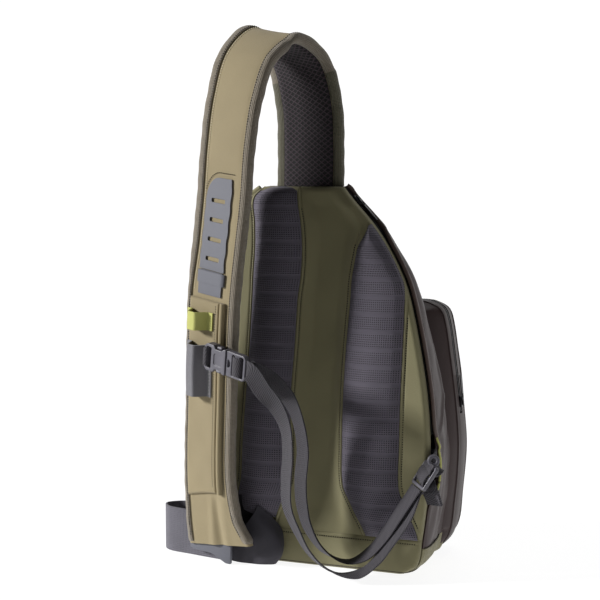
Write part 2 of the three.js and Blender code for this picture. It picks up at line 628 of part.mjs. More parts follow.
const LEFT_PAD_COLUMN = 2;
const RIGHT_PAD_COLUMN = 10;
const RIGHT_PAD_TOP_LEVEL = 14;
addPiece("pad_left", pad(LEFT_PAD_COLUMN, 1, PANEL_LEVELS.length - 1), GREY_MESH);
addPiece("pad_right", pad(RIGHT_PAD_COLUMN, 0, RIGHT_PAD_TOP_LEVEL), GREY_MESH);

// Strap: a frame at any distance up from its foot has the strap's middle, its width direction and its
// outward normal
const strapHeight = (up) => (up > 1 ? BAG_HEIGHT + (up - 1) * ARCH_RISE : up * BAG_HEIGHT);
const strapRoot = { ...STRAP_ROWS[0], up: 1 + SEAM_GAP / ARCH_RISE };
const strapRows = [strapRoot, ...STRAP_ROWS.slice(1)].map((row, index) => ({ ...row, index }));
const strapCurve = new THREE.CatmullRomCurve3(
  strapRows.map(({ across, out, up }) => vector(across * BAG_WIDTH, RIM_Y - out * STRAP_REACH, strapHeight(up))),
);
strapCurve.arcLengthDivisions = 400;
const STRAP_LENGTH = strapCurve.getLength();

function strapFrame(fromFoot) {
  const share = 1 - Math.min(Math.max(fromFoot / STRAP_LENGTH, 0), 1);
  const index = strapCurve.getUtoTmapping(share) * (strapRows.length - 1);
  const value = (column) => smooth(strapRows, "index", column, index);
  const yaw = THREE.MathUtils.degToRad(value("yaw"));
  const down = strapCurve.getTangentAt(share);
  const width = vector(Math.cos(yaw), -Math.sin(yaw), value("lean"));
  const across = width.addScaledVector(down, -width.dot(down)).normalize();
  return {
    at: strapCurve.getPointAt(share),
    across,
    out: down.clone().cross(across).normalize(),
    left: value("left") * STRAP_WIDTH,
    right: value("right") * STRAP_WIDTH,
  };
}

// Frames at even steps between two distances up the strap
function strapFrames(from, to, steps) {
  return Array.from({ length: steps + 1 }, (_, k) => strapFrame(from + ((to - from) * k) / steps));
}

// A solid swept along frames; section gives its points across and out of each frame
function sweep(frames, section) {
  const placed = ({ at, across, out }, [a, b]) => at.clone().addScaledVector(across, a).addScaledVector(out, b);
  const rings = frames.map((frame, k) => section(frame, k).map((point) => placed(frame, point)));
  return skin(rings, section(frames[0], 0).map(([a, b]) => new THREE.Vector2(a, b)));
}

const ARC_STEPS = 4;
const PAD_HALF = STRAP_PAD / 2;
const FACE = PAD_HALF + SEAM_GAP;
const BINDING_INNER = FACE;
const BINDING_OUTER = BINDING_INNER + BINDING_THICKNESS;

// A half circle about a point on the middle line, from its top to its bottom on the right, or back up on
// the left
function halfRound(centre, radius, side) {
  return Array.from({ length: ARC_STEPS + 1 }, (_, k) => {
    const angle = Math.PI * (0.5 - k / ARC_STEPS);
    return [centre + side * radius * Math.cos(angle), side * radius * Math.sin(angle)];
  });
}

// The strap's face from right to left between the bindings, at a level off its middle, sagging a little
// halfway
function faceLine({ left, right }, level, narrowed = 0) {
  const low = -left + BINDING_COVER + 2 * SEAM_GAP + narrowed;
  const high = right - BINDING_COVER - 2 * SEAM_GAP - narrowed;
  return [
    [high, level],
    [(low + high) / 2, level - FACE_SAG],
    [low, level],
  ];
}

const wholeStrap = strapFrames(0, STRAP_LENGTH, STRAP_STEPS);
addPiece(
  "strap_pad",
  sweep(wholeStrap, (frame) => [
    ...halfRound(frame.right - BINDING_OUTER, PAD_HALF, 1),
    ...faceLine(frame, -PAD_HALF),
    ...halfRound(-frame.left + BINDING_OUTER, PAD_HALF, -1),
    ...faceLine(frame, PAD_HALF).reverse(),
  ]),
  OLIVE,
);
addPiece(
  "strap_lining",
  sweep(wholeStrap, (frame) => [
    ...faceLine(frame, -FACE),
    ...faceLine(frame, -FACE - LINING_THICKNESS, LINING_THICKNESS / 2).reverse(),
  ]),
  DARK_MESH,
);

// Binding folded round one edge of the strap's pad
function binding(side) {
  return ({ left, right }) => {
    const edge = side > 0 ? right : left;
    const centre = edge - BINDING_OUTER;
    const lip = edge - BINDING_COVER;
    const inner = [[lip, BINDING_INNER], ...halfRound(centre, BINDING_INNER, 1), [lip, -BINDING_INNER]];
    const outer = [[lip, BINDING_OUTER], ...halfRound(centre, BINDING_OUTER, 1), [lip, -BINDING_OUTER]];
    const section = [...inner, ...outer.reverse()];
    return side > 0 ? section : section.map(([a, b]) => [-a, b]).reverse();
  };
}
addPiece("strap_binding_left", sweep(wholeStrap, binding(-1)), TAUPE);
addPiece("strap_binding_right", sweep(wholeStrap, binding(1)), TAUPE);

// Flat pouch on the strap's lower face and the corded edge beside it
const POUCH_LEFT = -STRAP_WIDTH / 2 + BINDING_COVER + SEAM_GAP;
const POUCH_RIGHT = POUCH_LEFT + POUCH_WIDTH;
const pouchFrames = strapFrames(POUCH_LOW, POUCH_HIGH, 10);
addPiece(
  "strap_pouch",
  sweep(pouchFrames, ({ left }) => {
    const leftEdge = -left + BINDING_COVER + SEAM_GAP;
    return [
      [leftEdge, FACE],
      [POUCH_RIGHT, FACE],
      [POUCH_RIGHT - 1, FACE + POUCH_THICKNESS * 0.8],
      [(leftEdge + POUCH_RIGHT) / 2, FACE + POUCH_THICKNESS],
      [leftEdge + 1, FACE + POUCH_THICKNESS * 0.8],
    ];
  }),
  OLIVE,
);
const CORD_LEFT = POUCH_RIGHT + SEAM_GAP;
addPiece(
  "strap_cord_edge",
  sweep(pouchFrames, () => [
    [CORD_LEFT, FACE],
    [CORD_LEFT + CORD_PIPE_WIDTH, FACE],
    [CORD_LEFT + CORD_PIPE_WIDTH * 0.85, FACE + CORD_HEIGHT * 0.8],
    [CORD_LEFT + CORD_PIPE_WIDTH * 0.5, FACE + CORD_HEIGHT],
    [CORD_LEFT + CORD_PIPE_WIDTH * 0.15, FACE + CORD_HEIGHT * 0.8],
  ]),
  OLIVE,
);

// Laminate ladder with slots cut through, and the folded tab below it
const LADDER_MIDDLE = -1;
const sheet = (low, high, bottom, top) => [[low, bottom], [high, bottom], [high, top], [low, top]];
const ladderFrames = strapFrames(LADDER_LOW, LADDER_LOW + LADDER_LENGTH, 14);
const LADDER_SHOULDER = 4;
let ladder = sweep(ladderFrames, (frame, k) => {
  const cut = Math.max(0, k - (ladderFrames.length - 1 - LADDER_SHOULDER)) / LADDER_SHOULDER;
  const leftEdge = LADDER_MIDDLE - LADDER_WIDTH / 2 + LADDER_WIDTH * 0.45 * cut ** 2;
  return sheet(leftEdge, LADDER_MIDDLE + LADDER_WIDTH / 2, FACE, FACE + LAMINATE);
});
for (let k = 0; k < LADDER_SLOTS; k++) {
  const frame = strapFrame(LADDER_LOW + LADDER_PITCH * (k + 0.6));
  const cutter = box(
    vector(LADDER_MIDDLE - LADDER_SLOT_WIDTH / 2, -LADDER_SLOT_HEIGHT / 2, 0),
    vector(LADDER_MIDDLE + LADDER_SLOT_WIDTH / 2, LADDER_SLOT_HEIGHT / 2, FACE + 3 * LAMINATE),
  );
  const up = frame.out.clone().cross(frame.across);
  const place = new THREE.Matrix4().makeBasis(frame.across, up, frame.out).setPosition(frame.at);
  ladder = ladder.subtract(cutter.transform(place.elements));
}
addPiece("strap_ladder", ladder, GREY_LAMINATE);
const tabFrames = strapFrames(LADDER_LOW - SEAM_GAP - TAB_LENGTH, LADDER_LOW - SEAM_GAP, 4);
addPiece(
  "ladder_tab",
  sweep(tabFrames, () =>
    sheet(LADDER_MIDDLE - LADDER_WIDTH / 2, LADDER_MIDDLE + LADDER_WIDTH / 2, FACE, FACE + 2 * LAMINATE),
  ),
  GREY_LAMINATE,
);

// An open loop sewn to the pouch by a foot at each side, standing off between them
const LOOP_BASE = FACE + POUCH_THICKNESS + SEAM_GAP;
const LOOP_RIGHT = POUCH_LEFT + LOOP_SPAN;
const ARCH_STEPS = 10;

function archLoop(low, height, thickness) {
  const upper = [];
  const lower = [];
  const add = (a, b, slope) => {
    const length = Math.hypot(1, slope);
    upper.push([a - (slope / length) * thickness * 0.5, b + thickness * (0.5 + 0.5 / length)]);
    lower.push([a + (slope / length) * thickness * 0.5, b + thickness * (0.5 - 0.5 / length)]);
  };
  add(POUCH_LEFT, LOOP_BASE, 0);
  const span = LOOP_SPAN - 2 * LOOP_FOOT;
  for (let k = 0; k <= ARCH_STEPS; k++) {
    const share = k / ARCH_STEPS;
    const climb = Math.min(1, Math.min(share, 1 - share) / LOOP_SHOULDER);
    const slope = (Math.sign(0.5 - share) * LOOP_RISE * 6 * climb * (1 - climb)) / (LOOP_SHOULDER * span);
    add(POUCH_LEFT + LOOP_FOOT + span * share, LOOP_BASE + LOOP_RISE * climb ** 2 * (3 - 2 * climb), slope);
  }
  add(LOOP_RIGHT, LOOP_BASE, 0);
  const section = [...lower, ...upper.reverse()];
  return sweep(strapFrames(low, low + height, 2), () => section);
}
addPiece("tool_loop", archLoop(TOOL_LOOP_LOW, TOOL_LOOP_HEIGHT, WEB_THICKNESS), LIME);
addPiece("fly_sleeve", archLoop(FLY_SLEEVE_LOW, FLY_SLEEVE_HEIGHT, WEB_THICKNESS), GREY_WEB);

// Buckle, lying on the strap with its length across it: X along the buckle, Y up the strap, Z outwards
const buckleFrame = strapFrame(BUCKLE_HEIGHT_ON_STRAP);
const buckleUp = buckleFrame.out.clone().cross(buckleFrame.across);
const buckleTurn = THREE.MathUtils.degToRad(BUCKLE_TURN);
const buckleAlong = buckleFrame.across
  .clone()
  .multiplyScalar(Math.cos(buckleTurn))
  .addScaledVector(buckleUp, -Math.sin(buckleTurn));
const HALF_BUCKLE = BUCKLE_WIDTH / 2;
const HALF_WEB = NARROW_WEB / 2;
const HALF_SLOT = HALF_WEB + WEB_PLAY;
const BUCKLE_START = LOOP_RIGHT + HALF_BUCKLE * Math.sin(buckleTurn) + SEAM_GAP;
const BUCKLE_FLOOR = FACE + CORD_HEIGHT + WEB_THICKNESS + 3 * SEAM_GAP;
const buckleSeat = buckleFrame.at
  .clone()
  .addScaledVector(buckleFrame.across, BUCKLE_START)
  .addScaledVector(buckleFrame.out, BUCKLE_FLOOR);
const buckle = orient(new THREE.Group(), buckleSeat, buckleAlong, buckleFrame.out);

// One side of the socket's outline from its bar end: along its length and half its width, as shares
const SOCKET_SIDE = [
  { along: 0, half: 0.8 },
  { along: 0.1, half: 1 },
  { along: 0.42, half: 1 },
  { along: 0.52, half: 0.74 },
  { along: 0.78, half: 0.74 },
  { along: 1, half: 0.94 },
];
const PLUG_SIDE = [
  { along: 0, half: 0.9 },
  { along: 0.9, half: 0.95 },
  { along: 1, half: 0.75 },
];
const ADJUSTER_SIDE = [
  { along: 0, half: 0.8 },
  { along: 0.1, half: 1 },
  { along: 0.93, half: 1 },
  { along: 1, half: 0.85 },
];

// A closed outline about the X axis from one side's rows
function mirrored(side, start, length, halfWidth) {
  const lower = side.map(({ along, half }) => [start + along * length, -half * halfWidth]);
  return [...lower, ...lower.map(([x, y]) => [x, -y]).reverse()];
}

const slotAt = (from, to) => oblong(from, to, HALF_SLOT);
addPiece(
  "buckle_socket",
  plate(
    mirrored(SOCKET_SIDE, 0, SOCKET_LENGTH, HALF_BUCKLE),
    [slotAt(BUCKLE_BAR, BUCKLE_BAR + SOCKET_SLOT)],
    0,
    BUCKLE_THICKNESS,
    1.2,
  ),
  GREY_PLASTIC,
  buckle,
);

// The plug's visible part is a ladder lock: a frame with two slots either side of the gripping bar
const PLUG_START = SOCKET_LENGTH + SEAM_GAP;
const PLUG_END = PLUG_START + PLUG_LENGTH;
const barFrom = PLUG_END - 5.3 * BUCKLE_BAR;
const plug = plate(
  mirrored(PLUG_SIDE, PLUG_START, PLUG_LENGTH, HALF_BUCKLE),
  [slotAt(barFrom - 1.3 * BUCKLE_BAR, barFrom), slotAt(barFrom + 2.3 * BUCKLE_BAR, PLUG_END - BUCKLE_BAR)],
  1,
  BUCKLE_THICKNESS - 1.5,
  1,
);
addPiece("buckle_plug", plug, GREY_PLASTIC, buckle);

const inBuckle = (x, y, z) => vector(x, y, z).applyMatrix4(buckle.matrix);

// Adjuster at the bag's right edge: its long axis follows the webbing, its bars lie along the webbing's
// width
const ADJUSTER_UP = ADJUSTER_HEIGHT / BAG_HEIGHT;
const adjusterAt = vector(edgeAt("right", ADJUSTER_UP), PANEL_FRONT_Y - ADJUSTER_STANDOFF, ADJUSTER_HEIGHT);
const adjusterAlong = vector(-0.48, -0.26, -0.84);
const { wx, wy, wz } = OUTER_RUN_ROWS.at(-1);
const adjusterAcross = vector(wx, wy, wz).normalize();
const adjusterFace = adjusterAcross.clone().cross(adjusterAlong).normalize();
const adjuster = orient(new THREE.Group(), adjusterAt, adjusterAlong, adjusterFace);
const HALF_ADJUSTER = ADJUSTER_WIDTH / 2;
const HALF_LENGTH = ADJUSTER_LENGTH / 2;
const WINDOW = (ADJUSTER_LENGTH - 3 * ADJUSTER_BAR) / 2;
const adjusterPlate = plate(
  mirrored(ADJUSTER_SIDE, -HALF_LENGTH, ADJUSTER_LENGTH, HALF_ADJUSTER),
  [-1, 1].map((end) => slotAt((end * ADJUSTER_BAR) / 2, end * (ADJUSTER_BAR / 2 + WINDOW))),
  -ADJUSTER_THICKNESS / 2,
  ADJUSTER_THICKNESS / 2,
  1,
);
addPiece("side_adjuster", adjusterPlate, GREY_PLASTIC, adjuster);
const inAdjuster = (x, y, z) => vector(x, y, z).applyMatrix4(adjuster.matrix);

// Frames along a smooth curve through places, with the width direction turned from one to the next
function runFrames(places, widths, steps) {
  const curve = new THREE.CatmullRomCurve3(places);
  return Array.from({ length: steps + 1 }, (_, k) => {
    const share = k / steps;
    const index = curve.getUtoTmapping(share) * (widths.length - 1);
    const before = Math.min(Math.floor(index), widths.length - 2);
    const tangent = curve.getTangentAt(share);
    const width = widths[before].clone().lerp(widths[before + 1], index - before);
    const across = width.addScaledVector(tangent, -width.dot(tangent)).normalize();
    return { at: curve.getPointAt(share), across, out: tangent.clone().cross(across).normalize() };
  });
}

const buckleWidthway = inBuckle(0, 1, 0).sub(inBuckle(0, 0, 0));
const strip = (width, thickness) => () => sheet(-width / 2, width / 2, -thickness / 2, thickness / 2);

// Webbing tab that holds the socket: under it, up through its slot and back over the bar
const underBuckle = -SEAM_GAP - WEB_THICKNESS / 2;
const overBar = BUCKLE_THICKNESS + SEAM_GAP + WEB_THICKNESS / 2;
const tabPlaces = [
  [SOCKET_LENGTH * 0.7, underBuckle],
  [BUCKLE_BAR + SOCKET_SLOT + 1, underBuckle],
  [BUCKLE_BAR + SOCKET_SLOT * 0.45, 0.5],
  [BUCKLE_BAR + 2.2, BUCKLE_THICKNESS - 2],
  [BUCKLE_BAR + 0.4, overBar],
  [0, overBar],
].map(([x, z]) => inBuckle(x, 0, z));
addPiece(
  "buckle_tab",
  sweep(runFrames(tabPlaces, Array(6).fill(buckleWidthway), 18), strip(NARROW_WEB, WEB_THICKNESS)),
  GREY_WEB,
);

// The webbing leaves the buckle and reaches the adjuster straight, at a level off each
function stabiliser(rows, buckleLevel, adjusterLevel) {
  const start = inBuckle(PLUG_END + 2 * SEAM_GAP, 0, buckleLevel);
  const end = inAdjuster(HALF_LENGTH + 3 * SEAM_GAP, 0, adjusterLevel);
  const places = rows.map(({ along, out, up }) =>
    vector(start.x + along * (end.x - start.x), PANEL_FRONT_Y - out * (PANEL_FRONT_Y - start.y), up * start.z),
  );
  const leaving = inBuckle(PLUG_END + WEB_LEAD, 0, buckleLevel);
  const reaching = inAdjuster(HALF_LENGTH + WEB_LEAD, 0, adjusterLevel);
  const turned = rows.map((row) => vector(row.wx, row.wy, row.wz));
  const frames = runFrames(
    [start, leaving, ...places, reaching, end],
    [buckleWidthway, buckleWidthway, ...turned, adjusterAcross, adjusterAcross],
    RUN_STEPS,
  );
  return sweep(frames, strip(NARROW_WEB, WEB_THICKNESS));
}

addPiece("stabiliser_outer", stabiliser(OUTER_RUN_ROWS, BUCKLE_THICKNESS * 0.62, WEB_THICKNESS), GREY_WEB);
addPiece("stabiliser_inner", stabiliser(INNER_RUN_ROWS, BUCKLE_THICKNESS * 0.2, -WEB_THICKNESS), GREY_WEB);

// Anchor webbing from the piped slot, behind the adjuster's upper bar, through its window and back over
// the bar
const anchorEdge = edgeAt("right", ADJUSTER_UP);
const slotMiddleY = (RIM_Y + ZIP_FAR_Y - SLOT_PIPING) / 2;
const anchorHeight = ADJUSTER_HEIGHT + ADJUSTER_LENGTH * 0.46;
const upperWindow = -HALF_LENGTH + ADJUSTER_BAR + WINDOW / 2;
const clearOfBar = ADJUSTER_THICKNESS / 2 + SEAM_GAP + WEB_THICKNESS;
const upright = vector(0.1, 0, -1);
const anchorPlaces = [
  vector(anchorEdge - 7, slotMiddleY, anchorHeight),
  vector(anchorEdge + 4, slotMiddleY, anchorHeight),
  vector(anchorEdge + 9, PANEL_BACK_Y - 2, anchorHeight),
  inAdjuster(upperWindow - 1, 0, clearOfBar + 6),
  inAdjuster(upperWindow + 1, 0, 0),
  inAdjuster(upperWindow - 2, 0, -clearOfBar - 0.6),
  inAdjuster(-HALF_LENGTH, 0, -clearOfBar - 0.3),
];
const anchorWidths = [upright, upright, upright, ...Array(4).fill(adjusterAcross)];
addPiece(
  "side_anchor",
  sweep(runFrames(anchorPlaces, anchorWidths, 20), strip(NARROW_WEB, WEB_THICKNESS)),
  GREY_WEB,
);

// Free end of the stabiliser, out of the adjuster's lower window, its last part folded double
const lowerWindow = HALF_LENGTH - ADJUSTER_BAR - WINDOW / 2;
const tailPlaces = [
  inAdjuster(lowerWindow, 0, 0),
  inAdjuster(lowerWindow, 0, clearOfBar + 1),
  inAdjuster(lowerWindow + WEB_END_LENGTH * 0.3, 0, clearOfBar + WEB_END_LENGTH * 0.25),
  inAdjuster(lowerWindow + WEB_END_LENGTH * 0.7, 0, clearOfBar + WEB_END_LENGTH * 0.42),
  inAdjuster(lowerWindow + WEB_END_LENGTH, 0, clearOfBar + WEB_END_LENGTH * 0.54),
];
addPiece(
  "stabiliser_tail",
  sweep(runFrames(tailPlaces, Array(5).fill(adjusterAcross), 12), (frame, k) => {
    const half = k > 6 ? WEB_THICKNESS : WEB_THICKNESS / 2;
    return sheet(-HALF_WEB, HALF_WEB, -half, half);
  }),
  GREY_WEB,
);

// Wing from a seam slanting across the panel's lower left corner, round to the left behind the strap's
// foot: seam and bulge are shares of half the bag's width, lift and out of the reach in front of the
// panel
const WING_ROWS = [
  { up: 0, seam: -0.6, lift: 0.006, bulge: -0.56, out: 0.2 },
  { up: 0.16, seam: -0.53, lift: 0.006, bulge: -0.5, out: 0.24 },
  { up: 0.32, seam: -0.51, lift: 0.006, bulge: -0.485, out: 0.26 },
  { up: 0.55, seam: -0.53, lift: 0.006, bulge: -0.52, out: 0.26 },
  { up: 0.78, seam: -0.59, lift: 0.16, bulge: -0.6, out: 0.28 },
  { up: 1, seam: -0.72, lift: 0.25, bulge: -0.76, out: 0.3 },
];
const WING_STEPS = 12;
const WING_FORWARD = 0.3;
const WING_END = -1.13;
const WING_END_FORWARD = 0.19;
const wingGrid = (side) =>
  WING_ROWS.map(({ up, seam, lift, bulge, out }) => {
    const low = FLOOR_GAP + up * WING_HEIGHT;
    const end = FLOOR_GAP + up * WIDE_WEB;
    const place = (x, forward, z) => vector(x * HALF_WIDTH, PANEL_FRONT_Y - forward * STRAP_REACH, z);
    const curve = new THREE.CatmullRomCurve3([
      place(seam, lift, low),
      place(bulge, out, low),
      place(Math.min(bulge - 0.12, -0.8), WING_FORWARD, (2 * low + end) / 3),
      place((WING_END - 0.87) / 2, (WING_FORWARD + WING_END_FORWARD) / 2, (low + 2 * end) / 3),
      place(WING_END, WING_END_FORWARD, end),
    ]);
    return Array.from({ length: WING_STEPS + 1 }, (_, k) => {
      const tangent = curve.getTangentAt(k / WING_STEPS);
      const normal = vector(-tangent.y, tangent.x, 0).normalize();
      return curve.getPointAt(k / WING_STEPS).addScaledVector(normal, side * WING_THICKNESS * 0.5);
    });
  });
addPiece("strap_wing", slab(wingGrid(1), wingGrid(-1)), GREY_WEB);

// Wide webbing on edge: from behind the strap's foot out to the left, round and back to the wing's end
const foot = strapFrame(0);
const footBack = (a, b) => {
  const place = foot.at.clone().addScaledVector(foot.across, a).addScaledVector(foot.out, -b);
  place.z = FLOOR_GAP + WIDE_WEB / 2;
  return place;
};
const WEB_BEHIND = PAD_HALF + LINING_THICKNESS + WIDE_WEB_THICKNESS / 2 + 3 * SEAM_GAP;
const wingEnd = vector(
  WING_END * HALF_WIDTH - WIDE_WEB_THICKNESS - SEAM_GAP,
  PANEL_FRONT_Y - WING_END_FORWARD * STRAP_REACH + WIDE_WEB_THICKNESS / 2,
  FLOOR_GAP + WIDE_WEB / 2,
);
const loopLeft = -STRAP_WIDTH / 2 - WIDE_WEB_REACH;
const hairpin = [
  footBack(4, WEB_BEHIND),
  footBack(-STRAP_WIDTH / 2, WEB_BEHIND),
  footBack(loopLeft + WIDE_WEB_REACH * 0.25, WEB_BEHIND + WIDE_WEB_THICKNESS),
  footBack(loopLeft, WEB_BEHIND + WIDE_WEB_BACK * 0.5),
  footBack(loopLeft + WIDE_WEB_REACH * 0.29, WEB_BEHIND + WIDE_WEB_BACK),
  footBack(-STRAP_WIDTH / 2, WEB_BEHIND + WIDE_WEB_BACK * 0.8),
  wingEnd,
];
addPiece(
  "wide_webbing",
  sweep(runFrames(hairpin, Array(7).fill(vector(0, 0, 1)), 26), strip(WIDE_WEB, WIDE_WEB_THICKNESS)),
  GREY_WEB,
);

// Folded end tab hanging from the strap's foot, its point near the floor
const endTab = orient(new THREE.Group(), foot.at, foot.across, foot.out);
const tabFloor = (a) => -(foot.at.z - FLOOR_GAP + a * foot.across.z) / foot.out.clone().cross(foot.across).z;
addPiece(
  "strap_end_tab",
  plate(
    [
      [-END_TAB_WIDTH * 0.7, -SEAM_GAP],
      [-END_TAB_WIDTH * 0.7, -6],
      [-END_TAB_WIDTH * 0.1, -11],
      [END_TAB_WIDTH * 0.3, tabFloor(END_TAB_WIDTH * 0.3)],
      [END_TAB_WIDTH * 0.42, tabFloor(END_TAB_WIDTH * 0.42)],
      [END_TAB_WIDTH * 0.5, -SEAM_GAP],
    ],
    [],
    -2,
    2,
    0.6,
  ),
  GREY_LAMINATE,
  endTab,
);

export default bag;
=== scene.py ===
import bmesh, bpy, json, math
import numpy as np
from mathutils import Matrix, Vector

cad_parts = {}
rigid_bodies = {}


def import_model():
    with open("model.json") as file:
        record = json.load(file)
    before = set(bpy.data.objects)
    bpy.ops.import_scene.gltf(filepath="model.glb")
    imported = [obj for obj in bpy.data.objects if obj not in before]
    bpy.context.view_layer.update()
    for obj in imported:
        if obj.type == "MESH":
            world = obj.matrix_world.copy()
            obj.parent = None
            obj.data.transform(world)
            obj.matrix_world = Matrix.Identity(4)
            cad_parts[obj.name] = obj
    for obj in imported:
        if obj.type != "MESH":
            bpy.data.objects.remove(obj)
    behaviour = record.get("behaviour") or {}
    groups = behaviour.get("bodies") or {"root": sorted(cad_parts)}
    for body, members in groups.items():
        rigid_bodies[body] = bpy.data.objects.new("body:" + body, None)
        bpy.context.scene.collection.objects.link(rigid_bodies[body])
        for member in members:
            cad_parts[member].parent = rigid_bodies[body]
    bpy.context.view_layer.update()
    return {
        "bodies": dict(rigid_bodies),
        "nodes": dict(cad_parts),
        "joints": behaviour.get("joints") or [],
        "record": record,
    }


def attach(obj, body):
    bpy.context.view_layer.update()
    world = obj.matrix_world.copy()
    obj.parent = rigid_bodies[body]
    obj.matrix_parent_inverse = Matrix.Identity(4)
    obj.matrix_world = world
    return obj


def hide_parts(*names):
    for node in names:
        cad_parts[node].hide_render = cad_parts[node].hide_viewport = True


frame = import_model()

# The view: the bag stands on a plain pale floor under soft studio light, seen from behind and a little
# to the right of its padded back panel.
LOOKED_AT, STOOD_AT = Vector((-0.0332, -0.0601, 0.2883)), Vector((0.5266, -1.4456, 0.4191))
lens = bpy.data.cameras.new("view")
lens.lens, lens.sensor_width = 85, 36
camera = bpy.data.objects.new("view", lens)
camera.location = STOOD_AT
camera.rotation_euler = (LOOKED_AT - STOOD_AT).to_track_quat("-Z", "Y").to_euler()
bpy.context.collection.objects.link(camera)
bpy.context.scene.camera = camera
bpy.context.scene.view_settings.view_transform = "Standard"

surround = bpy.data.worlds.new("surround")
surround.use_nodes = True
surround.node_tree.nodes["Background"].inputs["Color"].default_value = (0.97, 0.98, 1, 1)
surround.node_tree.nodes["Background"].inputs["Strength"].default_value = 0.05
bpy.context.scene.world = surround
for name, place, size, power in [
    ("key", (-2.9, -1.6, 1.45), 0.5, 172),
    ("fill", (1.9, -0.25, 0.6), 0.8, 2),
    ("top", (0.2, 0.5, 1.9), 0.9, 7),
]:
    lamp = bpy.data.lights.new(name, "AREA")
    lamp.size, lamp.energy = size, power
    light = bpy.data.objects.new(name, lamp)
    light.location = place
    light.rotation_euler = (Vector((0, 0, 0.25)) - Vector(place)).to_track_quat("-Z", "Y").to_euler()
    bpy.context.collection.objects.link(light)

# The floor runs back and turns up into a plain white backdrop, like a sheet of studio paper.
bpy.ops.object.select_all(action="DESELECT")
bpy.ops.mesh.primitive_plane_add(size=1)
floor = bpy.context.object
floor.name = "floor"
bpy.ops.object.mode_set(mode="EDIT")
bpy.ops.mesh.subdivide(number_cuts=40)
bpy.ops.object.mode_set(mode="OBJECT")
for vertex in floor.data.vertices:
    run = (vertex.co.y + 0.5) * 8.5
    bend = min(max(run - 5, 0), math.pi / 2)
    rise = max(run - 5 - math.pi / 2, 0)
    vertex.co = (vertex.co.x * 9, -2.4 + min(run, 5) + math.sin(bend), 1 - math.cos(bend) + rise - 0.0003)
bpy.ops.object.shade_smooth()

# The body of the bag: one coated cloth cup lying on its back, its mouth closed by the back panel, its lower
# edge sewn to a boot of olive nylon. A flap of the shell's own cloth rolls over the main zip at the right.
MM = 0.001
BAG_WIDTH, BAG_HEIGHT, SHELL_DEPTH, SHELL_WALL = 225, 408, 85, 2.4
HALF = BAG_WIDTH / 2
RIM_Y, FRONT_Y = -SHELL_DEPTH / 2, SHELL_DEPTH / 2
BOOT_HEIGHT = 28
OUTLINE = {
    "up": [0, 0.024, 0.095, 0.175, 0.225, 0.33, 0.46, 0.59, 0.71, 0.765, 0.84, 0.905, 0.97, 1],
    "left": [
        -0.82, -0.93, -0.985, -1.02, -1.03, -1.035, -1.03, -1.01, -0.985, -0.978, -0.964, -0.945, -0.87, -0.73
    ],
    "leftOut": [
        -0.8, -0.88, -0.95, -0.98, -0.95, -0.93, -0.89, -0.85, -0.82, -0.81, -0.79, -0.79, -0.8, -0.7
    ],
    "leftIn": [
        -0.6, -0.62, -0.62, -0.51, -0.44, -0.43, -0.42, -0.38, -0.35, -0.32, -0.305, -0.32, -0.36, -0.37
    ],
    "rightIn": [0.4, 0.4, 0.34, 0.2, 0.12, 0.11, 0.12, 0.15, 0.19, 0.205, 0.255, 0.3, 0.1, 0.02],
    "rightOut": [0.68, 0.8, 0.86, 0.76, 0.68, 0.68, 0.69, 0.71, 0.72, 0.665, 0.525, 0.36, 0.14, 0.055],
    "right": [0.71, 0.84, 0.89, 0.93, 0.95, 0.965, 0.935, 0.86, 0.765, 0.7, 0.56, 0.395, 0.18, 0.09],
}
DEPTHS = {
    "deep": [0, 0.06, 0.15, 0.25, 0.38, 0.58, 0.8, 0.94, 1],
    "wide": [1, 1.022, 1.034, 1.034, 1.028, 1.01, 0.97, 0.92, 0.86],
    "tall": [1, 1, 1, 1, 0.982, 0.935, 0.86, 0.8, 0.765],
}
# The flap's lip at the right, by height: over the zip, back to clear it at the top and at the piped slot
LIP = {
    "z": [0, 78, 84, 92, 118, 132, 148, 160, 300, 352, 366, 420],
    "y": [-42.5, -42.5, -38, -28, -25.5, -33, -41.2, -42.5, -42.5, -42, -34.6, -33.9],
}


def smooth(table, column, at, key="up"):
    """A column of a table between its rows, on a smooth curve through its values."""
    keys, values = np.array(table[key], float), np.array(table[column], float)
    at = np.asarray(at, float)
    b = np.clip(np.searchsorted(keys, at), 1, len(keys) - 1)
    a = b - 1
    before, after = np.maximum(b - 2, 0), np.minimum(b + 1, len(keys) - 1)
    span = keys[b] - keys[a]
    t = np.clip((at - keys[a]) / span, 0, 1)
    leave = (values[b] - values[before]) / (keys[b] - keys[before]) * span
    reach = (values[after] - values[a]) / (keys[after] - keys[a]) * span
    t2, t3 = t * t, t * t * t
    return (
        (2 * t3 - 3 * t2 + 1) * values[a] + (t3 - 2 * t2 + t) * leave + (3 * t2 - 2 * t3) * values[b]
        + (t3 - t2) * reach
    )


def eased(x, low, high):
    """From 0 at low to 1 at high, smoothly."""
    t = np.clip((np.asarray(x, float) - low) / (high - low), 0, 1)
    return t * t * (3 - 2 * t)


def bump(x, at, width):
    return np.exp(-(((np.asarray(x, float) - at) / width) ** 2))


def rolled(gap, radius):
    """How far a rolled edge has fallen away at a distance from it: 1 at the edge, 0 past its radius."""
    return 1 - np.sqrt(np.clip(1 - (1 - np.clip(gap, 0, radius) / radius) ** 2, 0, 1))


def unit(ways):
    """One direction, or a row of them, brought to length one."""
    return ways / (np.linalg.norm(ways) if ways.ndim == 1 else np.linalg.norm(ways, axis=1)[:, None])


def travelled(points):
    """The distance along a line at each of its points."""
    return np.concatenate([[0], np.cumsum(np.linalg.norm(np.diff(points, axis=0), axis=1))])


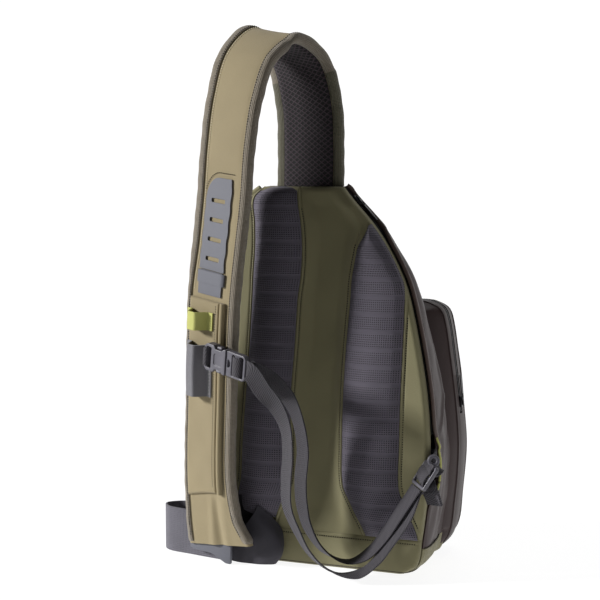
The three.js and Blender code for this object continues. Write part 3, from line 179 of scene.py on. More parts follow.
def evened(line, count, closed=False, soft=0.0):
    """A line of points spaced evenly along its length, its corners rounded a little."""
    line = np.asarray(line, float)
    if closed:
        line = np.concatenate([line, line[:1]])
    along = travelled(line)
    fine = int(along[-1]) + 1
    marks = np.linspace(0, along[-1], fine, endpoint=not closed)
    points = np.stack([np.interp(marks, along, line[:, k]) for k in range(line.shape[1])], 1)
    if soft:
        reach = np.arange(-int(4 * soft), int(4 * soft) + 1)
        weight = np.exp(-0.5 * (reach / soft) ** 2)
        points = sum(w * np.roll(points, k, axis=0) for w, k in zip(weight / weight.sum(), reach))
    return points[np.linspace(0, len(points), count, endpoint=False).astype(int)] if closed else points


def meshed(name, points, faces, uv=None):
    """A mesh object from points in millimetres, with a map of the cloth in metres."""
    mesh = bpy.data.meshes.new(name)
    mesh.from_pydata((np.asarray(points) * MM).tolist(), [], faces)
    if uv is not None:
        layer = mesh.uv_layers.new(name="cloth")
        corners = np.array([uv[f][k] for f, face in enumerate(faces) for k in range(len(face))])
        layer.data.foreach_set("uv", corners.astype(np.float32).ravel())
    mesh.update()
    piece = bpy.data.objects.new(name, mesh)
    bpy.context.collection.objects.link(piece)
    return piece


def cloth(name, grid, around=False, ends=False, across=None, along=None):
    """Cloth skinned over rows of points, its map measured across and along it; around joins its last
    column to its first, ends closes it at its first and last rows."""
    grid = np.asarray(grid, float)
    rows, columns = grid.shape[:2]
    wide = columns + 1 if around else columns
    full = np.concatenate([grid, grid[:, :1]], 1) if around else grid
    if across is None:
        across = travelled(full[rows // 2])
    if along is None:
        along = travelled(grid.mean(1))
    faces, uv = [], []
    for r in range(rows - 1):
        for c in range(wide - 1):
            d = (c + 1) % columns
            faces.append((r * columns + c, r * columns + d, (r + 1) * columns + d, (r + 1) * columns + c))
            u0, u1 = across[c] * MM, across[c + 1] * MM
            v0, v1 = along[r] * MM, along[r + 1] * MM
            uv.append(((u0, v0), (u1, v0), (u1, v1), (u0, v1)))
    if ends:
        last = (rows - 1) * columns
        faces += [tuple(range(columns))[::-1], tuple(last + c for c in range(columns))]
        uv += [
            [(across[c] * MM, along[0] * MM) for c in range(columns)][::-1],
            [(across[c] * MM, along[-1] * MM) for c in range(columns)]
        ]
    return meshed(name, grid.reshape(-1, 3), faces, uv)


def slab(name, front, back, across=None, along=None):
    """A sheet with thickness between two grids of points that match row for row."""
    around = np.concatenate([front, back[:, ::-1]], 1)
    columns = front.shape[1]
    if across is None:
        across = travelled(front[len(front) // 2])
    across = np.concatenate([across, across[::-1], across[:1]])
    piece = cloth(name, around, around=True, across=across, along=along)
    mesh = bmesh.new()
    mesh.from_mesh(piece.data)
    mesh.verts.ensure_lookup_table()
    for row in (0, len(front) - 1):
        start = row * 2 * columns
        for c in range(columns - 1):
            corner = [start + c, start + c + 1, start + 2 * columns - 2 - c, start + 2 * columns - 1 - c]
            corner = corner[::-1] if row == 0 else corner
            if len(set(corner)) == 4:
                mesh.faces.new([mesh.verts[k] for k in corner])
    mesh.to_mesh(piece.data)
    mesh.free()
    return outward(piece)


def outward(piece, merge=1e-6):
    """Doubles merged and faces turned outwards."""
    mesh = bmesh.new()
    mesh.from_mesh(piece.data)
    bmesh.ops.remove_doubles(mesh, verts=mesh.verts, dist=merge)
    bmesh.ops.recalc_face_normals(mesh, faces=mesh.faces)
    mesh.to_mesh(piece.data)
    mesh.free()
    return piece


def selected(piece):
    bpy.ops.object.select_all(action="DESELECT")
    bpy.context.view_layer.objects.active = piece
    piece.select_set(True)


def worked(piece, kind, **settings):
    """A modifier added with its settings and applied."""
    modifier = piece.modifiers.new(kind, kind)
    for key, value in settings.items():
        setattr(modifier, key, value)
    selected(piece)
    bpy.ops.object.modifier_apply(modifier=modifier.name)
    return piece


def placed(piece, finish, slot, *nodes, angle=50):
    """The piece gets its finish, is smoothed, rides on the bag and stands for its CAD nodes."""
    piece.data.materials.clear()
    for made in finish if isinstance(finish, (list, tuple)) else [finish]:
        piece.data.materials.append(made.material)
    selected(piece)
    bpy.ops.object.shade_smooth_by_angle(angle=math.radians(angle))
    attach(piece, "root")
    if nodes:
        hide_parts(*nodes)
    return piece


class Signal:
    """A value inside a finish; sums and products on it add Math nodes."""

    def __init__(self, finish, socket):
        self.finish, self.socket = finish, socket

    def math(self, operation, *others):
        return self.finish.node("Math", {"operation": operation}, dict(enumerate((self, *others))))

    def __add__(self, other):
        return self.math("ADD", other)

    def __mul__(self, other):
        return self.math("MULTIPLY", other)

    def __sub__(self, other):
        return self.math("SUBTRACT", other)

    def __rsub__(self, other):
        return self.finish.node("Math", {"operation": "SUBTRACT"}, {0: other, 1: self})

    __radd__, __rmul__ = __add__, __mul__

    def off(self, pitch):
        """Distance from the nearest multiple of the pitch, as a share of half of it: 0 on it, 1 midway."""
        return self.math("PINGPONG", pitch / 2) * (2 / pitch)

    def step(self, low, high):
        return self.finish.node(
            "MapRange", {"interpolation_type": "SMOOTHSTEP"},
            {"Value": self, "From Min": low, "From Max": high}
        )


def tint(code):
    """A colour from its six hexadecimal digits."""
    parts = [int(code[k : k + 2], 16) / 255 for k in (0, 2, 4)]
    return (*[p / 12.92 if p <= 0.04045 else ((p + 0.055) / 1.055) ** 2.4 for p in parts], 1)


class Finish:
    """A material built on the Principled shader."""

    def __init__(self, name, colour, roughness=0.85, **sockets):
        self.material = bpy.data.materials.new(name)
        self.material.use_nodes = True
        self.tree = self.material.node_tree
        self.shader = self.tree.nodes["Principled BSDF"]
        self.colour = tint(colour)
        self.shade(
            **{
                "Base Color": self.colour, "Roughness": roughness,
                **{k.replace("_", " "): v for k, v in sockets.items()}
            }
        )

    def put(self, socket, value):
        if isinstance(value, Signal):
            self.tree.links.new(value.socket, socket)
        else:
            socket.default_value = value

    def shade(self, **sockets):
        for key, value in sockets.items():
            self.put(self.shader.inputs[key.replace("_", " ")], value)

    def node(self, kind, settings=None, inputs=None, output=0):
        made = self.tree.nodes.new("ShaderNode" + kind)
        for key, value in (settings or {}).items():
            setattr(made, key, value)
        for key, value in (inputs or {}).items():
            self.put(made.inputs[key], value)
        return Signal(self, made.outputs[output])

    def cloth_map(self):
        """Metres across and along the cloth."""
        place = self.node("TexCoord", output=2)
        return self.node("SeparateXYZ", None, {0: place}, 0), self.node("SeparateXYZ", None, {0: place}, 1)

    def body_map(self):
        return self.node("TexCoord", output=3)

    def noise(self, scale, detail=2, stretch=None):
        place = self.body_map()
        if stretch:
            place = self.node("Mapping", None, {0: place, 3: stretch})
        return self.node("TexNoise", None, {"Vector": place, "Scale": scale, "Detail": detail})

    def mix(self, share, a, b):
        return self.node("Mix", {"data_type": "RGBA"}, {0: share, 6: a, 7: b}, 2)

    def shaded(self, share, amount, colour=None):
        """The colour made lighter and darker by a share about a half."""
        low = tuple(c * (1 - amount) for c in self.colour[:3]) + (1,)
        high = tuple(min(1, c * (1 + amount)) for c in self.colour[:3]) + (1,)
        return self.mix(share, colour or low, high)

    def raised(self, height, distance, strength=1.0):
        self.shade(
            Normal=self.node("Bump", None, {"Strength": strength, "Distance": distance, "Height": height})
        )


def woven(name, colour, pitch, depth, roughness=0.85, mottle=0.1, **sockets):
    """A plain weave on the cloth's own map, a little uneven in colour."""
    finish = Finish(name, colour, roughness, **sockets)
    u, v = finish.cloth_map()
    threads = u.off(pitch) * v.off(pitch) + (1 - u.off(pitch)) * (1 - v.off(pitch))
    blotch = finish.noise(28, 3)
    speck = finish.noise(900, 1)
    share = threads * 0.35 + blotch * 0.45 + speck * 0.2
    finish.shade(Base_Color=finish.shaded(share, mottle * 2.2))
    finish.raised(threads + blotch * 0.6, depth)
    return finish


def mottled(name, colour, roughness, uneven, relief=None, polish=None, **sockets):
    """A finish made uneven by noise: each noise has its scale, its detail and how much it does, and polish
    starts with the roughness it adds to."""
    finish = Finish(name, colour, roughness, **sockets)
    finish.shade(Base_Color=finish.shaded(finish.noise(*uneven[:2]), uneven[2]))
    if polish:
        finish.shade(Roughness=polish[0] + finish.noise(*polish[1:3]) * polish[3])
    if relief:
        finish.raised(finish.noise(*relief[:2]), relief[2])
    return finish


floor_finish = Finish("studio_paper", "7a7a7a", 0.8, Emission_Strength=1.0)
back = floor_finish.node("SeparateXYZ", None, {0: floor_finish.body_map()}, 1).step(-0.62, -0.22)
floor_finish.shade(Emission_Color=floor_finish.mix(back, (0.16, 0.16, 0.16, 1), (0.9, 0.9, 0.9, 1)))
floor.data.materials.append(floor_finish.material)

brown = Finish("brown_coated", "392b2a", 0.44, Specular_IOR_Level=0.32)
grain, wrinkle = brown.noise(620, 3), brown.noise(16, 4, (1, 1, 0.35))
brown.shade(Base_Color=brown.shaded(wrinkle * 0.6 + grain * 0.4, 0.22), Roughness=0.42 + grain * 0.16)
brown.raised(grain * 0.14 + wrinkle * 1.2, 0.0016, 0.7)
olive = woven("olive_nylon", "7b7656", 0.00055, 0.00012, 0.8, 0.07, Sheen_Weight=0.15)

RING_COUNT = 420
heights = np.linspace(0, 1, 241)


def outlined(table, height, start, count, soft):
    """An outline from its table, spaced evenly, with its directions outward."""
    right, left = (
        np.stack([smooth(table, side, heights) * HALF, (heights - start) * height], 1)
        for side in ("right", "left")
    )
    line = np.concatenate([[[0, -start * height]], right, left[::-1]])
    line = evened(line, count, closed=True, soft=soft)
    turn = np.roll(line, -1, 0) - np.roll(line, 1, 0)
    return line, np.stack([turn[:, 1], -turn[:, 0]], 1) / np.linalg.norm(turn, axis=1)[:, None]


ring, ring_out = outlined(OUTLINE, BAG_HEIGHT, 0, RING_COUNT, 2.6)
ring_along = travelled(ring)


def pushed(turns, by):
    """Steps outward across the shell's height and width, none in its depth."""
    return np.stack([turns[:, 0] * by, 0 * turns[:, 0], turns[:, 1] * by], 1)


STRAP_RIGHT, MAIN_ZIP_Y, ZIP_PROUD = 8.9, -38.2, 1.005
on_right = (ring[:, 0] > STRAP_RIGHT) & (ring_out[:, 0] > -0.2)
lip_y = np.where(on_right, np.interp(ring[:, 1], LIP["z"], LIP["y"]), RIM_Y)
kernel = np.exp(-0.5 * (np.arange(-6, 7) / 2.4) ** 2)
lip_y = sum(w * np.roll(lip_y, k) for w, k in zip(kernel / kernel.sum(), range(-6, 7)))

# Soft folds of the right side, each a ridge between two places (height, depth) with its width and its rise
FOLDS = [
    (236, 44, 186, 46, 4.5, 2.6), (186, 46, 152, 22, 4, 3.0), (190, 44, 128, 52, 6, 1.4),
    (330, 20, 240, 26, 9, 1.2), (150, 30, 96, 30, 7, 1.8), (112, 44, 38, 40, 8, 2.2),
    (100, 26, 40, 20, 7, 1.8), (132, 62, 50, 64, 10, 1.4)
]


def folded(x, y, z, side):
    """How far the shell's cloth stands out of its plain form at a place, by its folds and its slackness."""
    rise = np.zeros_like(z)
    for z0, d0, z1, d1, width, height in FOLDS:
        t = np.clip(
            ((z - z0) * (z1 - z0) + (y - RIM_Y - d0) * (d1 - d0)) / ((z1 - z0) ** 2 + (d1 - d0) ** 2), 0, 1
        )
        gap = np.hypot(z - z0 - t * (z1 - z0), y - RIM_Y - d0 - t * (d1 - d0))
        ends = 0.35 + 0.65 * np.sin(math.pi * np.clip(t, 0.05, 0.95))
        rise += height * np.exp(-((gap / width) ** 2)) * ends
    slack = 0.5 * np.sin(z / 17 + y / 9) * np.sin(y / 15 + z / 41) + 0.35 * np.sin(z / 7.3 - y / 11)
    return np.where(side > 0, rise - 1.0, 0.6 * rise - 0.5) + slack


DEEP = np.concatenate([np.linspace(0, 0.12, 12), np.linspace(0.14, 0.9, 40), np.linspace(0.92, 1, 9)])
rows = []
for share in DEEP:
    y = lip_y + (FRONT_Y - lip_y) * share
    deep = (y - RIM_Y) / SHELL_DEPTH
    wide, tall = smooth(DEPTHS, "wide", deep, "deep"), smooth(DEPTHS, "tall", deep, "deep")
    wide = wide + np.maximum(0.985 - wide, 0) * (1 - eased(ring[:, 1] * tall, 255, 292))
    x, z = ring[:, 0] * wide, ring[:, 1] * tall
    flat_base = eased(z, 1, 14)
    over_zip = np.where(on_right, 2.6 * eased(-y, 33, 36) * eased(ring[:, 1], 78, 92), 0)
    off = folded(x, y, z, x) * eased(deep, 0.0, 0.1) * (1 - eased(deep, 0.93, 1)) * flat_base + over_zip
    rows.append(np.stack([x + ring_out[:, 0] * off, y, np.maximum(z + ring_out[:, 1] * off, 0)], 1))
middle = np.array([rows[-1][:, 0].mean(), FRONT_Y, 0.42 * BAG_HEIGHT])
edge = rows[-1]
for share in np.linspace(0.02, 0.99, 16):
    wall = middle + (edge - middle) * (1 - share)
    wall[:, 1] = FRONT_Y - 0.4 * math.sin(math.pi * share)
    rows.append(wall)
rows.append(np.repeat(middle[None], RING_COUNT, 0))
skin = cloth("whole_shell", np.array(rows), around=True, across=np.append(ring_along, ring_along[-1] + 3))
outward(skin)


def levelled(mesh, place, way, **sides):
    """A mesh cut along a plane."""
    everything = mesh.verts[:] + mesh.edges[:] + mesh.faces[:]
    bmesh.ops.bisect_plane(mesh, geom=everything, plane_co=place, plane_no=way, **sides)


def parted(piece, name, height, keep_above):
    """A copy of the piece cut level at a height, one side of the cut kept."""
    half = piece.copy()
    half.data, half.name = piece.data.copy(), name
    bpy.context.collection.objects.link(half)
    mesh = bmesh.new()
    mesh.from_mesh(half.data)
    levelled(mesh, (0, 0, height * MM), (0, 0, 1), clear_inner=keep_above, clear_outer=not keep_above)
    mesh.to_mesh(half.data)
    mesh.free()
    return half


shell = parted(skin, "main_shell_cloth", BOOT_HEIGHT + 0.3, True)
boot = parted(skin, "base_boot_cloth", BOOT_HEIGHT, False)
bpy.data.objects.remove(skin)
for piece, finish, slot, node in [
    (shell, brown, "brown_coated", "main_shell"), (boot, olive, "olive_nylon", "base_boot")
]:
    worked(piece, "SOLIDIFY", thickness=SHELL_WALL * MM, offset=-1, use_even_offset=False)
    placed(piece, finish, slot, node)


def tube(name, line, radius, sides=10, closed=False):
    """A round piping along a line of points."""
    line = np.asarray(line, float)
    ahead = np.roll(line, -1, 0) - np.roll(line, 1, 0) if closed else np.gradient(line, axis=0)
    ahead = unit(ahead)
    side = unit(np.cross(ahead, [0.13, 0.31, 0.94]))
    up = np.cross(side, ahead)
    angle = np.arange(sides) * 2 * math.pi / sides
    grid = (
        line[:, None] + radius * np.cos(angle)[None, :, None] * side[:, None]
        + radius * np.sin(angle)[None, :, None] * up[:, None]
    )
    if closed:
        grid = np.concatenate([grid, grid[:1]])
    return outward(cloth(name, grid, around=True, ends=not closed))


# The flap's rolled edge runs down the right side; an olive roll finishes the left rim; the boot's seam and
# the base have a thin welt. Each is cloth folded round a cord and sewn into the seam.
def rim_line(chosen, outward_by, y):
    deep = (y - RIM_Y) / SHELL_DEPTH
    wide = smooth(DEPTHS, "wide", np.maximum(deep, 0), "deep")
    x, z = ring[chosen, 0] * wide[chosen], ring[chosen, 1]
    return np.stack([
        x + ring_out[chosen, 0] * outward_by, y[chosen], z + ring_out[chosen, 1] * outward_by
    ], 1)


order = np.arange(RING_COUNT)
lip_columns = order[on_right & (ring[:, 1] > 80)]
over = 1.2 + 2.2 * eased(-lip_y, 33, 36) - 0.6
lip = rim_line(lip_columns, 0, lip_y + 0.4)
lip += pushed(ring_out[lip_columns], over[lip_columns])
# The roll is the shell's own cloth in a lighter brown: a painted highlight along the rolled edge.
roll_highlight_brown = mottled(
    "brown_roll_highlight", "54443f", 0.34, (300, 3, 0.2), (140, 3, 0.0006), (0.3, 90, 3, 0.16), Specular_IOR_Level=0.55
)
placed(tube("flap_roll", lip, 2.1, 12), roll_highlight_brown, "brown_coated")
left_columns = order[(ring[:, 0] < -20) & (ring[:, 1] > 34) & (ring_out[:, 0] < 0.2) & (ring[:, 1] < 406)]
left_roll = rim_line(left_columns, 0.9, np.full(RING_COUNT, RIM_Y + 3.4))
placed(tube("left_rim_roll", left_roll, 3.3, 12), olive, "olive_nylon")

seam_rows = []
up = BOOT_HEIGHT / BAG_HEIGHT
for side, turn in (("right", 1), ("left", -1)):
    share = np.linspace(0.02, 0.985, 60)[::turn]
    wide, tall = smooth(DEPTHS, "wide", share, "deep"), smooth(DEPTHS, "tall", share, "deep")
    x = smooth(OUTLINE, side, np.clip(up / tall, 0, 1)) * HALF * wide
    seam_rows.append(
        np.stack([x + turn * 0.1, RIM_Y + share * SHELL_DEPTH, np.full(60, BOOT_HEIGHT + 0.2)], 1)
    )
welt = mottled("dark_welt", "4a4636", 0.8, (260, 2, 0.3), (700, 1, 0.0002))
placed(tube("boot_seam_welt", np.concatenate(seam_rows), 0.8, 8), welt, "olive_nylon")

# Zips: black coil on coated tape, the main one along the right of the rim under the flap, the pocket's across
# its top. The piping at the slot is folded lime webbing sewn to the slot's far lip.
zip_black = mottled(
    "zip_film", "161517", 0.3, (40, 2, 0.3), None, (0.26, 300, 2, 0.14), Coat_Weight=0.35, Coat_Roughness=0.25
)
coil_black = Finish("zip_coil", "1d1c1f", 0.42)
_, coil_v = coil_black.cloth_map()
coil_black.shade(Base_Color=coil_black.shaded(coil_v.off(0.0016), 0.6))
coil_black.raised(coil_v.off(0.0016).step(0.2, 0.8), 0.0005)


def along_rim(name, line, out, middle_y, section):
    """A band round a rim: its section gives points out of the rim and across it."""
    grid = np.array([
        [(x + o[0] * a, middle_y + b, z + o[1] * a) for a, b in section] for (x, z), o in zip(line, out)
    ])
    return outward(cloth(name, grid, around=True, ends=True))


def zip_sections(inner, tape, half_width, half_teeth):
    flat = [
        (inner, -half_width), (inner + tape, -half_width), (inner + tape, half_width), (inner, half_width)
    ]
    coil = [
        (inner + tape + 0.05 + 0.75 * math.sin(t), half_teeth * math.cos(t))
        for t in np.linspace(0, math.pi, 9)
    ]
    return flat, coil


main_columns = order[on_right & (ring[:, 0] > STRAP_RIGHT + 0.6) & (ring[:, 1] > 150.5)]
zip_line, zip_out = ring[main_columns] * [ZIP_PROUD, 1], ring_out[main_columns]
tape, coil = zip_sections(-2.2, 1.2, 3.9, 1.5)
placed(along_rim("main_zip_tape", zip_line, zip_out, MAIN_ZIP_Y, tape), zip_black, "zip", "main_zip")
placed(along_rim("main_zip_coil", zip_line, zip_out, MAIN_ZIP_Y, coil), coil_black, "zip")

lime = woven("lime_webbing", "b3b466", 0.0011, 0.00022, 0.75, 0.09)
slot_columns = order[on_right & (ring[:, 1] > 85.5) & (ring[:, 1] < 148)]
slot_lip = rim_line(slot_columns, 0, lip_y - 0.7)
lift = 1.2 + 2.4 * eased(-lip_y[slot_columns], 33, 36)
slot_lip += pushed(ring_out[slot_columns], lift)
placed(tube("slot_lime_piping", slot_lip, 1.3, 10), lime, "lime", "slot_piping")

# Front pocket: a second, shallower cup of the same coated cloth sewn to the shell's front, with its own zip
# across the upper part and a welt where its face meets its sides.
POCKET_WALL, POCKET_HEIGHT, POCKET_DEPTH, POCKET_LIFT = 2, 278, 52, 5
POCKET_BACK_Y = FRONT_Y + 0.3
POCKET_MIDDLE = POCKET_LIFT + POCKET_HEIGHT / 2
POCKET = {
    "up": [0, 0.03, 0.08, 0.2, 0.33, 0.46, 0.62, 0.8, 0.92, 0.975, 1],
    "left": [-0.8, -0.9, -0.96, -1.01, -1.03, -1.035, -1.03, -1, -0.96, -0.9, -0.76],
    "right": [0.76, 0.86, 0.93, 0.97, 1, 1.005, 0.97, 0.91, 0.86, 0.8, 0.66],
}
POCKET_DEPTHS = {
    "deep": [0, 0.1, 0.45, 0.7, 0.88, 1],
    "wide": [0.99, 1, 1, 0.985, 0.94, 0.85],
    "tall": [0.99, 1, 1, 0.985, 0.95, 0.88],
}
pocket, pocket_out = outlined(POCKET, POCKET_HEIGHT, 0.5, 340, 3)
ZIP_NEAR = POCKET_BACK_Y + POCKET_DEPTH * 0.22
ZIP_FAR = ZIP_NEAR + 8.6
ZIP_LOW = POCKET_LIFT + POCKET_HEIGHT * 0.55


def pocket_row(y, sag=True):
    deep = (y - POCKET_BACK_Y) / POCKET_DEPTH
    wide, tall = smooth(POCKET_DEPTHS, "wide", deep, "deep"), smooth(POCKET_DEPTHS, "tall", deep, "deep")
    x, z = pocket[:, 0] * wide, POCKET_MIDDLE + pocket[:, 1] * tall
    slack = (0.7 * np.sin(z / 19 + y / 7) * np.sin(z / 43 + 1) - 0.5) * eased(deep, 0.0, 0.12) if sag else 0
    slack = slack * (1 - np.maximum(bump(y, ZIP_NEAR, 5), bump(y, ZIP_FAR, 5)))
    return np.stack([
        x + pocket_out[:, 0] * slack, np.full(len(x), float(y)), z + pocket_out[:, 1] * slack
    ], 1)


def pocket_part(name, depths, face=False):
    rows = [pocket_row(y) for y in depths]
    if face:
        edge, centre = rows[-1], np.array([0, depths[-1], POCKET_MIDDLE - 6.0])
        for share in np.linspace(0.03, 1, 18):
            wall = centre + (edge - centre) * (1 - share)
            wall[:, 1] = depths[-1] - 0.3 * np.sin(math.pi * share)
            rows.append(wall)
    return outward(cloth(name, np.array(rows), around=True))


side_near = pocket_part("pocket_inner_side", np.linspace(POCKET_BACK_Y, ZIP_NEAR, 8))
side_slot = pocket_part("pocket_slot_side", [ZIP_NEAR, ZIP_FAR])
cut_side = parted(side_slot, "pocket_low_side", ZIP_LOW, False)
bpy.data.objects.remove(side_slot)
side_far = pocket_part("pocket_face", np.linspace(ZIP_FAR, POCKET_BACK_Y + POCKET_DEPTH, 26), face=True)
rim = pocket_row(POCKET_BACK_Y, False)
inside = (24 - RIM_Y) / SHELL_DEPTH
shell_z = heights * BAG_HEIGHT * smooth(DEPTHS, "tall", inside, "deep")
reach = np.interp(rim[:, 2], shell_z, smooth(OUTLINE, "right", heights) * HALF)
reach_left = np.interp(rim[:, 2], shell_z, -smooth(OUTLINE, "left", heights) * HALF)
limit = np.where(rim[:, 0] > 0, reach, reach_left) * smooth(DEPTHS, "wide", inside, "deep") - 4
inner = np.stack([
    np.sign(rim[:, 0]) * np.minimum(np.abs(rim[:, 0]) * 0.97, limit), np.where(rim[:, 2] < 32, 33.0, 24.0),
    np.clip(rim[:, 2], 9, 272)
], 1)
gusset_rows = []
for t in np.linspace(0, 1, 10):
    row = inner * (1 - t) + rim * t
    swell = 1.4 * math.sin(math.pi * t)
    gusset_rows.append(row + pushed(pocket_out, swell))
gusset = outward(cloth("pocket_gusset", np.array(gusset_rows), around=True))
bpy.ops.object.select_all(action="DESELECT")
for piece in (side_near, cut_side, side_far, gusset):
    piece.select_set(True)
bpy.context.view_layer.objects.active = side_far
bpy.ops.object.join()
pocket_piece = bpy.context.object
pocket_piece.name = "front_pocket_cloth"
outward(pocket_piece, 1e-5)
worked(pocket_piece, "SOLIDIFY", thickness=POCKET_WALL * MM, offset=-1, use_even_offset=False)
placed(pocket_piece, brown, "brown_coated", "front_pocket")

pocket_top = np.arange(len(pocket))[POCKET_MIDDLE + pocket[:, 1] > ZIP_LOW + 0.6]
pocket_line = pocket[pocket_top] + [0, POCKET_MIDDLE]
tape, coil = zip_sections(-1.8, 1.2, 3.9, 1.5)
pocket_zip_y = (ZIP_NEAR + ZIP_FAR) / 2
placed(
    along_rim("pocket_zip_tape", pocket_line, pocket_out[pocket_top], pocket_zip_y, tape), zip_black, "zip",
    "pocket_zip"
)
placed(
    along_rim("pocket_zip_coil", pocket_line, pocket_out[pocket_top], pocket_zip_y, coil), coil_black, "zip"
)
face_edge = pocket_row(POCKET_BACK_Y + POCKET_DEPTH * 0.8) + pushed(pocket_out, 0.5)
placed(tube("pocket_face_welt", face_edge, 1.3, 8, closed=True), brown, "brown_coated")
foot_edge = pocket_row(POCKET_BACK_Y + 1.0, False)
placed(tube("pocket_foot_welt", foot_edge, 1.1, 8, closed=True), brown, "brown_coated")

# Zip sliders: die-cast bodies with a bridge and a moulded pull, painted dark. Their solids carry the finish.
plastic = mottled(
    "grey_acetal", "57555d", 0.38, (60, 2, 0.08), (1400, 2, 0.00006), (0.34, 240, 3, 0.12),
    Specular_IOR_Level=0.5
)


def moulded(name, outline, low, high):
    """A flat shape cut to an outline and extruded to its thickness, in millimetres."""
    bpy.ops.object.select_all(action="DESELECT")
    bpy.ops.mesh.primitive_circle_add(vertices=len(outline), fill_type="NGON")
    piece = bpy.context.object
    piece.name = name
    for vertex, (x, y) in zip(piece.data.vertices, outline):
        vertex.co = (x * MM, y * MM, low * MM)
    bpy.ops.object.mode_set(mode="EDIT")
    bpy.ops.mesh.select_all(action="SELECT")
    bpy.ops.mesh.extrude_region_move(TRANSFORM_OT_translate={"value": (0, 0, (high - low) * MM)})
    bpy.ops.mesh.select_all(action="SELECT")
    bpy.ops.mesh.normals_make_consistent(inside=False)
    bpy.ops.object.mode_set(mode="OBJECT")
    bpy.ops.object.transform_apply(location=True, rotation=True, scale=True)
    return piece


def rounded(x0, y0, x1, y1, radius, steps=4):
    """An oblong with rounded corners; radius may be one for each corner from the lower left round."""
    radii = radius if isinstance(radius, (list, tuple)) else [radius] * 4
    points = []
    for (x, y), start, r in zip(((x0, y0), (x1, y0), (x1, y1), (x0, y1)), (180, 270, 0, 90), radii):
        cx, cy = x + (r if x == x0 else -r), y + (r if y == y0 else -r)
        for k in range(steps + 1):
            angle = math.radians(start + 90 * k / steps)
            points.append((cx + r * math.cos(angle), cy + r * math.sin(angle)))
    return points


def cut(piece, *cutters):
    """The cutters taken out of the piece."""
    for cutter in cutters:
        worked(piece, "BOOLEAN", operation="DIFFERENCE", object=cutter, solver="EXACT")
        bpy.data.objects.remove(cutter)
    return piece


def softened(piece, width, segments=3):
    return worked(
        piece, "BEVEL", width=width * MM, segments=segments, limit_method="ANGLE",
        angle_limit=math.radians(35), use_clamp_overlap=True
    )


def stood(piece, origin, x, y, z):
    """A piece made flat, turned and moved to its place."""
    basis = Matrix(((x[0], y[0], z[0]), (x[1], y[1], z[1]), (x[2], y[2], z[2]))).to_4x4()
    piece.data.transform(Matrix.Translation(Vector(origin) * MM) @ basis)
    piece.data.update()
    return piece


slider_paint = mottled("slider_paint", "232226", 0.36, (500, 2, 0.25), None, (0.3, 90, 3, 0.2), Metallic=0.5)


def slider(name, at, out, ahead, node):
    """A zip slider with its bridge and its pull lying along the tape."""
    out, ahead = np.array([out[0], 0, out[1]]), np.array([ahead[0], 0, ahead[1]])
    body = moulded(f"{name}_body", rounded(-6, -3.3, 6, 3.3, 1.4), -0.5, 2.2)
    softened(body, 0.6)
    bridge = moulded(f"{name}_bridge", rounded(-4, -1.1, 4, 1.1, 0.8), 2.0, 3.9)
    softened(bridge, 0.5)
    pull = moulded(f"{name}_pull", rounded(1, -2.9, 30, 2.9, 2.6), 2.6, 3.9)
    cut(pull, moulded("hole", rounded(4, -1.5, 9, 1.5, 1.2), 0, 6))
    softened(pull, 0.5)
    for piece in (body, bridge, pull):
        stood(piece, at, ahead, np.cross(out, ahead), out)
        placed(piece, slider_paint, "plastic", *([node] if piece is body else []), angle=35)


top = main_columns[np.argmin(np.abs(ring[main_columns, 1] - 0.965 * BAG_HEIGHT))]
slider(
    "main_slider", (ring[top, 0] * ZIP_PROUD, MAIN_ZIP_Y, ring[top, 1]), ring_out[top],
    (ring_out[top, 1], -ring_out[top, 0]), "main_zip_slider"
)
low = pocket_top[pocket[pocket_top, 0] > 0][4]
slider(
    "pocket_slider", (pocket[low, 0], pocket_zip_y, pocket[low, 1] + POCKET_MIDDLE), pocket_out[low],
    (-pocket_out[low, 1], pocket_out[low, 0]), "pocket_zip_slider"
)

# Back panel: olive nylon over moulded foam, deep in the middle and rolled at its edges, with a fold of cloth
# standing beside each pad's seam; below it a plain band of the same nylon, creased by the strap.
PANEL_BACK_Y, PANEL_FRONT_Y, PANEL_RISE = RIM_Y - 0.3, RIM_Y - 6.3, 4
BAND_HEIGHT = 38
PANEL_INSET = 0.985


def border(column, z):
    return smooth(OUTLINE, column, z / BAG_HEIGHT) * HALF * PANEL_INSET


def panel_front(x, z):
    """The panel's face: raised under the pads, falling into the channel, rounded off at its edges."""
    left, right = border("left", z), border("right", z)
    left_out, left_in = border("leftOut", z), border("leftIn", z)
    right_in, right_out = border("rightIn", z), border("rightOut", z)
    half_channel = np.maximum((right_in - left_in) / 2, 1)
    middle = np.clip(1 - np.abs(x - (left_in + right_in) / 2) / half_channel, 0, 1)
    rise = 1 - 1.95 * eased(middle, 0.02, 0.62)
    up = z / BAG_HEIGHT
    share = np.minimum(
        np.minimum(1, np.maximum(0, (up - BAND_HEIGHT / BAG_HEIGHT) / 0.06)),
        np.maximum(0.25, (1 - up) / 0.05)
    )
    y = PANEL_FRONT_Y - rise * share * PANEL_RISE
    beside_right = 1 - eased(z, 360, 368)
    for line, side, there in (
        (left_in, 1, 1), (right_in, -1, beside_right), (left_out, -1, 1), (right_out, 1, beside_right)
    ):
        gap = (x - line) * side
        y = y - there * (1.0 * bump(gap, 1.7, 0.9) - 0.8 * bump(gap, 3.6, 0.7))
    for line, side in ((left, 1), (right, -1)):
        y = y + 4.6 * rolled((x - line) * side, 5)
    top = np.clip((z - (BAG_HEIGHT - 7)) / 7, 0, 1)
    y = y + 4.5 * (1 - np.sqrt(1 - top**2))
    y = y + (0.5 * np.sin(x / 23 + z / 31) + 0.35 * np.sin(z / 13 - x / 17)) * eased(middle, 0.1, 0.5)
    return np.minimum(y, PANEL_BACK_Y - 1.2)


